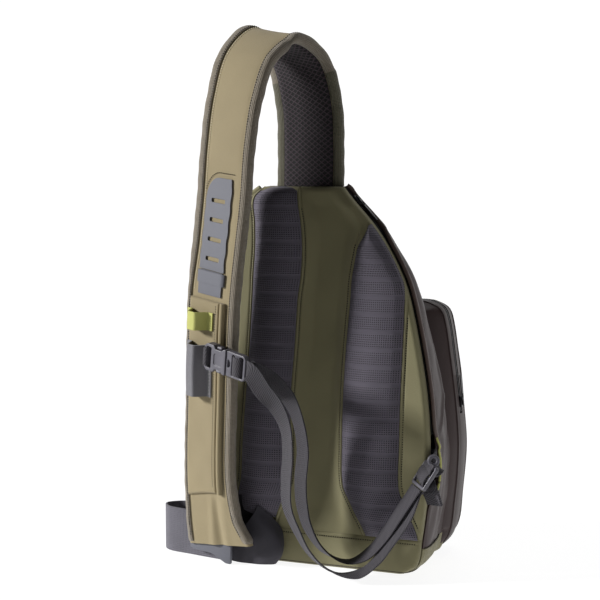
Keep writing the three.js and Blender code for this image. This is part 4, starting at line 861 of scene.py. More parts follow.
def panel_columns(z):
    """Places across the panel at a height, close together beside the seams."""
    lines = [border(c, z) for c in ("left", "leftOut", "leftIn", "rightIn", "rightOut", "right")]
    near = np.array([0.6, 1.2, 1.7, 2.2, 2.8, 3.3, 3.8, 4.4, 5.4])
    places = []
    for k, (a, b) in enumerate(zip(lines, lines[1:])):
        span = max(b - a, 0.5)
        if k in (0, 4):
            steps = np.linspace(0, 1, 22)[:-1] * span
        elif k == 2:
            fit = min(1, span / 24)
            steps = np.concatenate([
                [0], near * fit, np.linspace(7 * fit, span - 7 * fit, 34), span - near[::-1] * fit
            ])
        else:
            steps = np.linspace(0, 1, 9)[:-1] * span
        places.append(a + steps)
    return np.append(np.concatenate(places), lines[-1])


def panel_sheet(name, levels, face):
    xs = np.array([panel_columns(z) for z in levels])
    zs = np.repeat(np.asarray(levels, float)[:, None], xs.shape[1], 1)
    front = np.stack([xs, face(xs, zs), zs], 2)
    back = np.stack([xs, np.full_like(xs, PANEL_BACK_Y), zs], 2)
    across = xs[len(xs) // 2] + 200
    return slab(name, front, back, across, np.asarray(levels, float))


panel = panel_sheet(
    "back_panel_foam", np.concatenate([np.linspace(BAND_HEIGHT + 0.3, 398, 150), np.linspace(399, 408, 14)]),
    panel_front
)
placed(panel, olive, "olive_nylon", "back_panel")


def band_front(x, z):
    left, right = border("left", z), border("right", z)
    y = np.full_like(x, PANEL_FRONT_Y)
    y = (
        y - 0.9 * np.sin(math.pi * np.clip(z / BAND_HEIGHT, 0, 1)) + 0.9 * bump(z, BAND_HEIGHT, 1.2)
        + 0.4 * bump(z, BAND_HEIGHT - 4.2, 0.7)
    )
    for line, side in ((left, 1), (right, -1)):
        y = y + 5 * rolled((x - line) * side, 6)
    low = np.clip(1 - z / 4, 0, 1)
    y = y + 2.2 * (1 - np.sqrt(1 - low**2))
    crease = (
        0.9 * bump(x * 0.8 + z * 0.5, 30, 5) - 0.7 * bump(x * 0.8 + z * 0.5, 38, 4)
        + 0.5 * np.sin(x / 15 + z / 9)
    )
    y = y + crease * np.sin(math.pi * np.clip(z / BAND_HEIGHT, 0, 1))
    return np.minimum(y, PANEL_BACK_Y - 1.2)


band = panel_sheet(
    "panel_band_cloth", np.concatenate([np.linspace(0, 5, 9), np.linspace(6, BAND_HEIGHT, 34)]), band_front
)
placed(band, olive, "olive_nylon", "panel_band")

base_z = 2.6
share = np.linspace(0.0, 1, 40)
wide = smooth(DEPTHS, "wide", share, "deep")
right_edge = smooth(OUTLINE, "right", base_z / BAG_HEIGHT) * HALF * wide + 0.2
left_edge = smooth(OUTLINE, "left", base_z / BAG_HEIGHT) * HALF * wide - 0.2
front_x = np.linspace(border("left", base_z) + 3, border("right", base_z) - 3, 50)
base_line = np.concatenate([
    np.stack([front_x, np.full(50, PANEL_FRONT_Y + 0.9), np.full(50, base_z)], 1),
    np.stack([right_edge, RIM_Y + share * SHELL_DEPTH, np.full(40, base_z)], 1),
    np.stack([left_edge, RIM_Y + share * SHELL_DEPTH, np.full(40, base_z)], 1)[::-1],
])
placed(
    tube("base_welt", evened(base_line, 500, closed=True, soft=2.5), 1.25, 8, closed=True), welt,
    "olive_nylon"
)

# Back pads: grey spacer mesh over foam, pierced in a fine grid, with plain bands pressed across it every few
# rows of holes. Each is a cushion drawn in at its border, blown up as cloth, its border and bands held.
PAD_EDGE, PAD_CROWN, BAND_PITCH = 2.5, 5.5, 18.4
pad_grey = Finish("spacer_mesh", "5c5762", 0.9, Sheen_Weight=0.1, Sheen_Roughness=0.5)
u, v = pad_grey.cloth_map()
HOLE_PITCH = 0.0023
du, dv = 1 - u.off(HOLE_PITCH), 1 - v.off(HOLE_PITCH)
hole = 1 - (du * du + dv * dv).math("SQRT").step(0.4, 0.7)
plain = 1 - v.off(BAND_PITCH * MM).step(0.12, 0.3)
hole = hole * (1 - plain)
blotch, fuzz = pad_grey.noise(22, 3), pad_grey.noise(1500, 1)
pad_grey.shade(
    Base_Color=pad_grey.mix(
        hole + plain * 0.16, pad_grey.shaded(blotch * 0.6 + fuzz * 0.4, 0.16), tint("131117")
    )
)
pad_grey.raised(fuzz * 0.25 - hole - plain * 0.4, 0.0005)


def pad(name, left, right, low, high, top_roll, node, depth):
    levels = np.linspace(low, high, int((high - low) / 1.9))
    share = (1 - np.cos(np.linspace(0, math.pi, 44))) / 2 * 0.35 + np.linspace(0, 1, 44) * 0.65
    zs = np.repeat(levels[:, None], len(share), 1)
    a, b = border(left, levels)[:, None], border(right, levels)[:, None]
    if not top_roll:
        edge = border("right", levels)[:, None] - 0.3
        b = b + np.maximum(edge - b, 0) * eased(levels, 280, 312)[:, None]
        climb = np.clip((levels - (high - 28)) / 28, 0, 1)[:, None]
        a = a + (b - a - 0.9) * (1 - np.sqrt(1 - climb**2))
    xs = a + (b - a) * share
    under = panel_front(xs, zs) - 0.3
    to_side = np.minimum(xs - a, b - xs)
    to_end = np.minimum(zs - low, (high - zs) if not top_roll else 99)
    gap = np.minimum(to_side, to_end)
    full = 1 - np.exp(-gap / 3.2)
    crown = np.sin(math.pi * np.clip((xs - a) / np.maximum(b - a, 1), 0, 1))
    thick = (
        0.5 + PAD_EDGE * full
        + (PAD_CROWN + (2.2 if top_roll else 1)) * crown ** 0.9 * np.clip(gap / 9, 0, 1) ** 0.5
    )
    phase = np.abs(((zs / BAND_PITCH + 0.5) % 1) - 0.5) * BAND_PITCH
    held = bump(phase, 0, 2.4)
    thick = thick - depth * held * full
    over = under - thick
    if top_roll:
        reach = np.clip((zs - (high - 11)) / 11, 0, 1)
        over = over + 10.5 * (1 - np.sqrt(np.clip(1 - reach**2, 0, 1)))
        under = np.minimum(under + 1.5 * reach, PANEL_BACK_Y - 1.5)
        over = np.minimum(over, under - 0.6)
    front = np.stack([xs, over, zs], 2)
    back = np.stack([xs, under, zs], 2)
    piece = slab(name, front, back, xs[len(xs) // 2] + 200, levels)
    blown(piece, front, held * (gap > 0), gap)
    placed(piece, pad_grey, "grey_mesh", node)
    return piece


def blown(piece, front, held, gap):
    """The pad's face swells between its border and its bands as held cloth does under pressure."""
    rows, columns = front.shape[:2]
    start = np.array([v.co for v in piece.data.vertices])
    free = np.zeros(len(start))
    tree = {
        tuple(np.round(p * MM, 6)): (1 - h) * min(1, g / 4)
        for p, h, g in zip(front.reshape(-1, 3), held.ravel(), gap.ravel())
    }
    for k, p in enumerate(start):
        free[k] = tree.get(tuple(np.round(p, 6)), 0)
    group = piece.vertex_groups.new(name="held")
    for k, f in enumerate(free):
        group.add([k], float(1 - f), "REPLACE")
    cloth_work = piece.modifiers.new("puff", "CLOTH")
    settings = cloth_work.settings
    settings.quality = 4
    settings.use_pressure = True
    settings.uniform_pressure_force = 3.0
    settings.tension_stiffness = settings.compression_stiffness = 12
    settings.shear_stiffness, cloth_work.settings.bending_stiffness = 6, 0.5
    settings.vertex_group_mass = "held"
    settings.effector_weights.gravity = 0
    cloth_work.collision_settings.use_collision = False
    for step in range(1, 13):
        bpy.context.scene.frame_set(step)
    seen = piece.evaluated_get(bpy.context.evaluated_depsgraph_get())
    moved = np.array([v.co for v in seen.data.vertices]) - start
    piece.modifiers.remove(cloth_work)
    piece.vertex_groups.remove(group)
    bpy.context.scene.frame_set(1)
    size = np.linalg.norm(moved, axis=1)
    limit = 0.0016
    moved *= np.where(size > limit, limit / np.maximum(size, 1e-9), 1)[:, None]
    piece.data.vertices.foreach_set("co", (start + moved * free[:, None]).astype(np.float32).ravel())
    piece.data.update()


SHARES = [
    0, 0.03, 0.07, 0.13, 0.2, 0.28, 0.37, 0.46, 0.54, 0.61, 0.68, 0.74, 0.79, 0.84, 0.89, 0.93, 0.965, 0.99, 1
]
panel_low = BAND_HEIGHT + 0.3
pad_levels = [panel_low + s * (BAG_HEIGHT - panel_low) for s in SHARES]
pad("pad_left_mesh", "leftOut", "leftIn", pad_levels[1], BAG_HEIGHT, True, "pad_left", 0.35)
pad("pad_right_mesh", "rightIn", "rightOut", pad_levels[0], pad_levels[14] + 2, False, "pad_right", 0.6)


# Rows of stitching: each stitch a short thread lying in the cloth.
def stitches(name, runs, finish, slot, pitch=2.8, length=1.7, radius=0.42):
    points, faces = [], []
    for line, lift in runs:
        line, lift = np.asarray(line, float), np.broadcast_to(np.asarray(lift, float), np.shape(line))
        along = travelled(line)
        for mark in np.arange(pitch, along[-1] - pitch / 2, pitch):
            at = np.array([np.interp(mark, along, line[:, k]) for k in range(3)])
            ahead = np.array([
                np.interp(mark + 0.6, along, line[:, k]) - np.interp(mark - 0.6, along, line[:, k])
                for k in range(3)
            ])
            ahead /= np.linalg.norm(ahead)
            up = np.array([np.interp(mark, along, lift[:, k]) for k in range(3)])
            up -= ahead * (up @ ahead)
            up /= np.linalg.norm(up)
            side = np.cross(ahead, up)
            start = len(points)
            points.append(at - ahead * length / 2)
            for a in (-0.26, 0.26):
                for t in np.arange(6) * math.pi / 3:
                    points.append(
                        at + ahead * a * length + side * radius * math.cos(t)
                        + up * radius * (math.sin(t) + 0.3)
                    )
            points.append(at + ahead * length / 2)
            for k in range(6):
                j = (k + 1) % 6
                faces += [
                    (start, start + 1 + j, start + 1 + k),
                    (start + 1 + k, start + 1 + j, start + 7 + j, start + 7 + k),
                    (start + 7 + k, start + 7 + j, start + 13)
                ]
    piece = outward(meshed(name, points, faces), 1e-9)
    return placed(piece, finish, slot)


# Near-black thread: the stitches' own dark thread with the shade of their needle holes painted into it.
dark_thread_hole_shade = mottled("dark_thread_hole_shade", "100f0c", 0.9, (800, 1, 0.3), (2500, 1, 0.0001))
tan_thread = mottled("tan_thread", "d9d0b2", 0.85, (800, 1, 0.15), (2500, 1, 0.0001))


def on_panel(column, away, low, high):
    z = np.linspace(low, high, 240)
    x = border(column, z) + away
    return np.stack([x, panel_front(x, z) - 0.4, z], 1)


band_z = np.full(120, BAND_HEIGHT - 4.2)
band_x = np.linspace(border("left", BAND_HEIGHT) + 6, border("right", BAND_HEIGHT) - 4, 120)
stitches("panel_stitches", [
    (on_panel("leftIn", 3.6, 60, 388), (0, -1, 0)), (on_panel("rightIn", -3.6, 44, 350), (0, -1, 0)),
    (on_panel("rightOut", 3.6, 50, 276), (0, -1, 0)), (on_panel("leftOut", -3.2, 84, 390), (0, -1, 0)),
    (np.stack([band_x, band_front(band_x, band_z) - 0.35, band_z], 1), (0, -1, 0)),
], dark_thread_hole_shade, "olive_nylon", 2.6, 1.5, 0.6)

# Shoulder strap: canvas over 10 mm foam, spacer mesh underneath, its edges rolled in soft knitted binding.
# It leaves the bag's top edge, arches over in front of the panel and comes down to the lower left corner.
STRAP_WIDTH, STRAP_REACH, ARCH_RISE = 75, 64, 155
STRAP = {
    "index": list(range(14)),
    "across": [
        -0.145, -0.145, -0.152, -0.19, -0.262, -0.335, -0.387, -0.42, -0.447, -0.51, -0.547, -0.578, -0.577,
        -0.565
    ],
    "out": [-0.16, -0.175, -0.14, 0.06, 0.5, 0.87, 0.99, 1.02, 0.98, 0.906, 0.75, 0.6, 0.53, 0.52],
    "up": [1 + 0.3 / ARCH_RISE, 1.27, 1.57, 1.86, 2, 1.87, 1.6, 1.27, 0.968, 0.71, 0.458, 0.245, 0.12, 0.05],
    "yaw": [0, 0, 1, 5, 10, 15, 18, 20, 20, 21, 22, 20, 15, 11],
    "lean": [0, 0, 0, -0.12, -0.2, -0.1, 0, 0, 0, 0, 0, 0, -0.05, -0.12],
    "left": [0.5] * 11 + [0.49, 0.47, 0.45],
    "right": [0.5] * 12 + [0.56, 0.7],
}


class Path:
    """A smooth line through places, measured along its length."""

    def __init__(self, places):
        self.places = np.array(places, float)
        self.marks = np.linspace(0, 1, 401)
        points = self.at_mark(self.marks)
        self.lengths = travelled(points)

    def at_mark(self, mark):
        p = self.places
        whole = np.concatenate([[2 * p[0] - p[1]], p, [2 * p[-1] - p[-2]]])
        place = np.clip(np.asarray(mark, float), 0, 1) * (len(p) - 1)
        k = np.minimum(place.astype(int), len(p) - 2)
        w = (place - k)[:, None]
        a, b, c, d = whole[k], whole[k + 1], whole[k + 2], whole[k + 3]
        gap = [np.sqrt(np.linalg.norm(n - m, axis=1))[:, None] for m, n in ((a, b), (b, c), (c, d))]
        leave = ((b - a) / gap[0] - (c - a) / (gap[0] + gap[1]) + (c - b) / gap[1]) * gap[1]
        reach = ((c - b) / gap[1] - (d - b) / (gap[1] + gap[2]) + (d - c) / gap[2]) * gap[1]
        return (
            b + leave * w + (-3 * b + 3 * c - 2 * leave - reach) * w**2
            + (2 * b - 2 * c + leave + reach) * w**3
        )

    def mark(self, share):
        return np.interp(np.asarray(share, float) * self.lengths[-1], self.lengths, self.marks)

    def place(self, share):
        return self.at_mark(self.mark(share))

    def heading(self, share):
        mark = self.mark(share)
        step = self.at_mark(mark + 1e-4) - self.at_mark(mark - 1e-4)
        return unit(step)


def upright(way, ahead):
    """Directions across a line, squared up to it."""
    return unit(way - ahead * (way * ahead).sum(1)[:, None])


strap_path = Path(np.stack([
    np.array(STRAP["across"]) * BAG_WIDTH,
    RIM_Y - np.array(STRAP["out"]) * STRAP_REACH,
    np.where(
        np.array(STRAP["up"]) > 1, BAG_HEIGHT + (np.array(STRAP["up"]) - 1) * ARCH_RISE,
        np.array(STRAP["up"]) * BAG_HEIGHT
    ),
], 1))
STRAP_LENGTH = strap_path.lengths[-1]


def strap_frames(marks):
    """The strap's middle, direction across, outward face and half widths at distances up from its foot."""
    share = 1 - np.clip(np.asarray(marks, float) / STRAP_LENGTH, 0, 1)
    index = strap_path.mark(share) * 13
    value = lambda column: smooth(STRAP, column, index, "index")
    yaw, ahead = np.radians(value("yaw")), strap_path.heading(share)
    across = upright(np.stack([np.cos(yaw), -np.sin(yaw), value("lean")], 1), ahead)
    out = unit(np.cross(ahead, across))
    return strap_path.place(share), across, out, value("left") * STRAP_WIDTH, value("right") * STRAP_WIDTH


def on_strap(marks, section):
    """Rows of points swept up the strap: section gives across and outward distances at each mark."""
    marks = np.asarray(marks, float)
    at, across, out, left, right = strap_frames(marks)
    rows = []
    for k, mark in enumerate(marks):
        points = np.asarray(section(mark, left[k], right[k]), float)
        rows.append(at[k] + points[:, :1] * across[k] + points[:, 1:2] * out[k])
    return np.array(rows)


def laid_on_strap(piece):
    """A flat piece, made with its width along X and its height up the strap along Y, bent onto the strap."""
    co = np.array([v.co for v in piece.data.vertices]) / MM
    at, across, out, _, _ = strap_frames(co[:, 1])
    piece.data.vertices.foreach_set(
        "co", ((at + across * co[:, :1] + out * co[:, 2:3]) * MM).astype(np.float32).ravel()
    )
    piece.data.update()
    return piece


BINDING_COVER, PAD_HALF = 9, 5


def left_cover(mark):
    """The left binding laps further over the canvas above the pouch."""
    return BINDING_COVER + 3.2 * eased(mark, 275, 330)


FACE = PAD_HALF + 0.3
BINDING_OUTER = FACE + 1.2
strap_marks = np.linspace(0, STRAP_LENGTH, 460)
strap_along = STRAP_LENGTH - strap_marks


def half_round(centre, radius, side, count=9):
    angle = np.pi * (0.5 - np.linspace(0, 1, count))
    return [(centre + side * radius * math.cos(t), side * radius * math.sin(t)) for t in angle]


def strap_face(mark, low, high, level, count=25):
    """The canvas between the bindings: slack, drawn in beside them, puffed where nothing is sewn to it."""
    a = np.linspace(high, low, count)
    share = np.clip((a - low) / (high - low), 0, 1)
    free = float(eased(mark, 404, 430)) * float(1 - eased(mark, STRAP_LENGTH - 20, STRAP_LENGTH))
    puff = (
        free * (1.1 * np.sin(math.pi * share) ** 0.7 + 0.28 * math.sin(mark / 11) * np.sin(math.pi * share))
        - 0.25 * np.sin(math.pi * share)
    )
    drawn = 0.5 * (np.exp(-(a - low) / 1.6) + np.exp(-(high - a) / 1.6))
    foot = float(1 - eased(mark, 46, 62))
    crease = foot * (
        1.5 * bump(a, 3 + mark * 0.1, 5) - 2.0 * bump(a, 13 - mark * 0.05, 4) + 0.9 * bump(a, 22, 5)
    )
    return np.stack([a, level + np.sign(level) * (puff - drawn + crease)], 1)


def canvas_section(mark, left, right):
    low, high = -left + float(left_cover(mark)) + 0.6, right - BINDING_COVER - 0.6
    top = strap_face(mark, low, high, PAD_HALF)[::-1]
    under = [(high, -PAD_HALF), ((low + high) / 2, -PAD_HALF + 0.4), (low, -PAD_HALF)]
    sides = half_round(right - BINDING_OUTER, PAD_HALF, 1), half_round(-left + BINDING_OUTER, PAD_HALF, -1)
    return [*sides[0], *under, *sides[1], *[tuple(p) for p in top]]


def lining_section(mark, left, right):
    low, high = -left + BINDING_COVER + 0.6, right - BINDING_COVER - 0.6
    a = np.linspace(high, low, 21)
    share = (a - low) / (high - low)
    thick = (
        0.6 + 2.4 * np.clip(np.minimum(a - low, high - a) / 4, 0, 1) ** 0.5 + 0.9 * np.sin(math.pi * share)
    )
    ripple = 0.2 * math.sin(mark / 6.5)
    return [
        *zip(a, np.full(21, -FACE) + 0.4 * np.sin(math.pi * share)),
        *zip(a[::-1], (-FACE - thick - ripple * np.sin(math.pi * share))[::-1])
    ]


def binding_section(side):
    def section(mark, left, right):
        edge = right if side > 0 else left
        centre, cover = edge - BINDING_OUTER, edge - (BINDING_COVER if side > 0 else float(left_cover(mark)))
        joined = 0.7 * float(eased(mark, STRAP_LENGTH - 118, STRAP_LENGTH - 115)) if side > 0 else 0
        swell = 0.18 * math.sin(mark / 3.1) + 0.15 * math.sin(mark / 7.7 + side) + joined
        top = [
            (cover, FACE + 0.35), (cover + 0.7, FACE + 1.0), (cover + 1.6, FACE + 0.75),
            (cover + 2.6, BINDING_OUTER + 0.5 * swell)
        ]
        arc = [
            (centre + (BINDING_OUTER + swell) * math.cos(t), (BINDING_OUTER + swell) * math.sin(t))
            for t in np.pi * (0.5 - np.linspace(0.0, 1, 13))
        ]
        low = [(a, -b) for a, b in top[::-1]]
        inner = [
            (cover, -FACE),
            *[
                (centre + FACE * math.cos(t), FACE * math.sin(t))
                for t in np.pi * (np.linspace(0, 1, 9) - 0.5)
            ],
            (cover, FACE)
        ]
        end = math.sqrt(max(0.06, 1 - (1 - min(mark / 6, 1)) ** 2))
        points = [
            (centre + (a - centre) * (end if side > 0 else 1), b * end) for a, b in [*top, *arc, *low, *inner]
        ]
        return points if side > 0 else [(-a, b) for a, b in points]
    return section


canvas = woven("strap_canvas", "8e8163", 0.0007, 0.00018, 0.88, 0.07, Sheen_Weight=0.12)
binding_knit = Finish("knit_binding", "877c6a", 0.95, Sheen_Weight=0.3, Sheen_Roughness=0.6)
ku, kv = binding_knit.cloth_map()
pebble = ku.off(0.0017) * kv.off(0.0014)
binding_knit.shade(
    Base_Color=binding_knit.mix(
        kv.step(0.116, 0.1165), tint("58543d"),
        binding_knit.shaded(pebble * 0.5 + binding_knit.noise(320, 2) * 0.5, 0.34)
    )
)
binding_knit.raised(pebble + binding_knit.noise(420, 2) * 0.8, 0.0011)
lining_mesh = Finish("lining_mesh", "2b2329", 0.9, Sheen_Weight=0.1)
lu, lv = lining_mesh.cloth_map()
rising, falling = (lu * 0.8 + lv).off(0.0056), (lu * 0.8 - lv).off(0.0056)
cord_line = (1 - rising.step(0.1, 0.4)).math("MAXIMUM", 1 - falling.step(0.1, 0.4))
lining_mesh.shade(
    Base_Color=lining_mesh.mix(
        cord_line * (0.55 + 0.45 * lining_mesh.noise(500, 1)), tint("0b080a"), tint("43363d")
    )
)
lining_mesh.raised(cord_line, 0.0006)


def swept(name, marks, section, along=None):
    """A piece swept up the strap and closed at its ends."""
    return outward(cloth(name, on_strap(marks, section), around=True, ends=True, along=along))


strap = swept("strap_canvas_face", strap_marks, canvas_section, strap_along)
placed(strap, canvas, "strap_canvas", "strap_pad")
lining = swept("strap_mesh_lining", strap_marks, lining_section, strap_along)
placed(lining, lining_mesh, "dark_mesh", "strap_lining")
for side, name in ((-1, "left"), (1, "right")):
    binding = swept(f"strap_{name}_binding", strap_marks, binding_section(side), strap_along)
    placed(binding, binding_knit, "binding", f"strap_binding_{name}")


def strap_line(marks, a, level):
    """A line up the strap at a distance from its middle, or from its edge where a function gives it."""
    marks = np.asarray(marks, float)
    at, across, out, left, right = strap_frames(marks)
    side = a(left, right) if callable(a) else np.full(len(marks), float(a))
    level = np.broadcast_to(level, len(marks))
    return at + across * side[:, None] + out * level[:, None], out


every = np.linspace(8, STRAP_LENGTH - 4, 500)
_, _, _, half_left, half_right = strap_frames(every)
beside = [
    strap_face(m, -l + float(left_cover(m)) + 0.6, r - BINDING_COVER - 0.6, PAD_HALF, 61)
    for m, l, r in zip(every, half_left, half_right)
]
surface = np.array([
    np.interp(-l + float(left_cover(m)) + 3.4, face[::-1, 0], face[::-1, 1])
    for m, l, face in zip(every, half_left, beside)
])
light_line = strap_line(every, lambda l, r: -l + left_cover(every) + 3.4, surface + 0.3)
upper = every > 276
stitches(
    "strap_light_stitches", [(light_line[0][upper], light_line[1][upper])], tan_thread, "strap_canvas", 2.7,
    1.5, 0.55
)
stitches("strap_dark_stitches", [
    strap_line(every, lambda l, r: r - BINDING_COVER + 1.6, FACE + 1.05),
    strap_line(every, lambda l, r: -l + left_cover(every) - 1.6, FACE + 1.05),
], dark_thread_hole_shade, "binding", 2.7, 1.6, 0.55)

# Flat pouch on the lower half of the strap: canvas sewn down round three sides, its right side a zip hidden
# beside a corded edge of the same canvas.
POUCH_LOW, POUCH_HIGH, POUCH_WIDTH, POUCH_THICK = 60, 271, 45, 3.6
POUCH_LEFT = -STRAP_WIDTH / 2 + BINDING_COVER + 0.3
POUCH_RIGHT = POUCH_LEFT + POUCH_WIDTH
pouch_marks = np.concatenate([
    np.linspace(POUCH_LOW, POUCH_LOW + 8, 9), np.linspace(POUCH_LOW + 9.5, POUCH_HIGH - 5, 120),
    np.linspace(POUCH_HIGH - 4, POUCH_HIGH, 6)
])


def pouch_section(mark, left, right):
    low = -left + BINDING_COVER + 0.3
    a = low + (POUCH_RIGHT - low) * (1 - np.cos(np.linspace(0, math.pi, 27))) / 2
    end = min(mark - POUCH_LOW, POUCH_HIGH - mark)
    gap = np.minimum(np.minimum(a - low, POUCH_RIGHT - a), end)
    height = POUCH_THICK * np.sqrt(np.clip(1 - (1 - np.clip(gap / 2.6, 0, 1)) ** 2, 0, 1))
    height = (
        height - 0.5 * bump(a, POUCH_RIGHT - 4.6, 0.8)
        + 0.25 * math.sin(mark / 9) * np.sin((a - low) / 6) * np.clip(gap / 6, 0, 1)
    )
    under = [(POUCH_RIGHT, FACE), ((low + POUCH_RIGHT) / 2, FACE), (low, FACE)]
    return [*zip(a, FACE + np.maximum(height, 0.25)), *under]


pouch_grid = on_strap(pouch_marks, pouch_section)
_, pouch_across, pouch_out, _, _ = strap_frames(pouch_marks)
pouch_down = np.cross(pouch_across, pouch_out)
columns = (1 - np.cos(np.linspace(0, math.pi, 27))) / 2
columns = np.concatenate([columns, [1, 0.5, 0]])
low_end = np.clip(1 - (pouch_marks - POUCH_LOW) / 60, 0, 1) ** 2
drop = 9 * (1 - columns[None, :]) ** 1.5 * low_end[:, None]
pouch_grid += pouch_down[:, None] * drop[:, :, None] * np.sign(-pouch_down[0, 2])
pouch = outward(
    cloth("strap_pouch_canvas", pouch_grid, around=True, ends=True, along=STRAP_LENGTH - pouch_marks)
)
placed(pouch, canvas, "strap_canvas", "strap_pouch")
CORD_LEFT, CORD_WIDTH, CORD_HEIGHT = POUCH_RIGHT + 0.3, 6.5, 4.6
cord_section = [
    (CORD_LEFT + CORD_WIDTH * (0.5 - 0.5 * math.cos(t)), FACE + CORD_HEIGHT * math.sin(t) ** 0.8)
    for t in np.linspace(0, math.pi, 13)
]
cord_edge = swept("pouch_corded_edge", pouch_marks, lambda m, l, r: cord_section, STRAP_LENGTH - pouch_marks)
placed(cord_edge, canvas, "strap_canvas", "strap_cord_edge")
stitches("pouch_stitches", [
    strap_line(pouch_marks[6:-4], POUCH_RIGHT - 4.6, FACE + POUCH_THICK - 0.4),
    strap_line(
        np.linspace(POUCH_LOW + 4, POUCH_HIGH - 2, 120), lambda l, r: r - BINDING_COVER - 3.4, PAD_HALF - 0.05
    ),
], dark_thread_hole_shade, "strap_canvas", 2.7, 1.6, 0.5)

# Laminate ladder on the strap: stiff coated sheet with four slots cut through and its edges burnished dark,
# sewn down along its top. Below it the free end of the sheet passes under a keeper of the same stuff.
laminate = Finish("grey_laminate", "5c5d65", 0.55, Specular_IOR_Level=0.4)
laminate.shade(Base_Color=laminate.shaded(laminate.noise(70, 3) * 0.6 + laminate.noise(1300, 1) * 0.4, 0.09))
laminate.raised(laminate.noise(1600, 2), 0.0001)
burnished = mottled("burnished_edge", "2b2b31", 0.6, (400, 2, 0.2), (900, 1, 0.0001))
LADDER_LOW, LADDER_LENGTH, LADDER_WIDTH, LADDER_MIDDLE, LAMINATE = 302, 98, 36, -1, 1.5


def ruled(piece, low, high, step):
    """Level cuts across a flat piece, so that it can bend."""
    mesh = bmesh.new()
    mesh.from_mesh(piece.data)
    for place in np.arange(low + step, high, step):
        levelled(mesh, (0, place * MM, 0), (0, 1, 0))
    mesh.to_mesh(piece.data)
    mesh.free()
    return piece


def edge_dark(piece):
    """The side faces of a flat piece take the second of its finishes."""
    for face in piece.data.polygons:
        if abs(face.normal.z) < 0.7:
            face.material_index = 1


x0, x1 = LADDER_MIDDLE - LADDER_WIDTH / 2, LADDER_MIDDLE + LADDER_WIDTH / 2
top = LADDER_LOW + LADDER_LENGTH
waved = [
    (x1 + 0.5 * math.sin((s - LADDER_LOW) / 20.5 * 2 * math.pi + 1), s)
    for s in np.linspace(LADDER_LOW + 0.4, top - 3, 34)
]
corner = [(x0 + 17 - 17 * math.cos(t), top - 24 + 24 * math.sin(t)) for t in np.linspace(math.pi / 2, 0, 10)]
slant = [
    (x0 + 0.5 * math.sin((s - LADDER_LOW) / 20.5 * 2 * math.pi), s)
    for s in np.linspace(top - 26, LADDER_LOW + 0.4, 26)
]
ladder = moulded("ladder_sheet", [*waved, (x1 - 1, top), *corner, *slant], FACE, FACE + LAMINATE)
for k in range(4):
    middle = LADDER_LOW + 20.5 * (k + 0.6)
    cut(
        ladder,
        moulded(
            "slot", rounded(LADDER_MIDDLE - 10, middle - 2.25, LADDER_MIDDLE + 10, middle + 2.25, 1.4),
            FACE - 2, FACE + 4
        )
    )
ruled(ladder, LADDER_LOW, top, 3)
edge_dark(ladder)
laid_on_strap(ladder)
placed(ladder, (laminate, burnished), "laminate", "strap_ladder", angle=30)

tail = moulded(
    "ladder_tail", rounded(x0 + 1, LADDER_LOW - 26, x1 - 1, LADDER_LOW - 0.3, 1), FACE, FACE + LAMINATE
)
ruled(tail, LADDER_LOW - 26, LADDER_LOW, 3)
edge_dark(tail)
laid_on_strap(tail)
placed(tail, (laminate, burnished), "laminate", angle=30)
keeper_marks = np.linspace(LADDER_LOW - 14, LADDER_LOW - 1, 10)
keeper_outer = [
    (x0 - 0.6, FACE + 0.1), (x0 - 0.6, FACE + 2.2), (x0 + 0.6, FACE + 3.1),
    *[(a, FACE + 3.2) for a in np.linspace(x0 + 2, x1 - 2, 8)], (x1 + 1.2, FACE + 3.0),
    (x1 + 2.6, FACE + 2.0), (x1 + 2.6, FACE + 0.1)
]
keeper_inner = [
    (x1 + 1.6, FACE + 0.1), (x1 + 1.4, FACE + 1.7),
    *[(a, FACE + 1.8) for a in np.linspace(x1 - 2, x0 + 2, 8)], (x0 + 0.3, FACE + 1.7), (x0 + 0.3, FACE + 0.1)
]
keeper = swept("ladder_keeper", keeper_marks, lambda m, l, r: keeper_outer + keeper_inner)
placed(keeper, laminate, "laminate", "ladder_tab")
round_top = [
    (x1 + 4, top + 5.2), (x0 + 17, top + 5.2),
    *[
        (x0 + 17 - 19.8 * math.cos(t), top - 21 + 26.2 * math.sin(t))
        for t in np.linspace(math.pi / 2, 0.15, 12)
    ]
]
row_at, row_across, row_out, _, _ = strap_frames([b for _, b in round_top])
row = row_at + row_across * np.array([a for a, _ in round_top])[:, None] + row_out * (PAD_HALF + 0.5)
stitches("ladder_stitches", [(row, row_out)], dark_thread_hole_shade, "strap_canvas", 2.7, 1.6, 0.5)

# Tool loop of lime webbing and sleeve of grey felt: each a strip sewn to the pouch by a foot at both sides
# and standing off between them, open at top and bottom. White stitches hold the felt's right foot.
TOOL_LOW, TOOL_HEIGHT, SLEEVE_LOW, SLEEVE_HEIGHT = 240, 19, 168, 56
LOOP_SPAN, LOOP_RISE, LOOP_FOOT, LOOP_SHOULDER, WEB = 38, 13, 5, 0.36, 1.6
LOOP_BASE = FACE + POUCH_THICK + 0.3
felt = Finish("grey_felt", "5a585e", 1.0, Sheen_Weight=0.4, Sheen_Roughness=0.7)
felt.shade(Base_Color=felt.shaded(felt.noise(420, 4) * 0.7 + felt.noise(40, 2) * 0.3, 0.22))
felt.raised(felt.noise(900, 4), 0.0005)


def arch(x):
    """How far a loop stands off, and its slope, at a distance across it."""
    share = np.clip((x - POUCH_LEFT - LOOP_FOOT) / (LOOP_SPAN - 2 * LOOP_FOOT), 0, 1)
    climb = np.clip(np.minimum(share, 1 - share) / LOOP_SHOULDER, 0, 1)
    run = LOOP_SHOULDER * (LOOP_SPAN - 2 * LOOP_FOOT)
    slope = np.sign(0.5 - share) * LOOP_RISE * 6 * climb * (1 - climb) / run
    return LOOP_BASE + LOOP_RISE * climb**2 * (3 - 2 * climb), slope


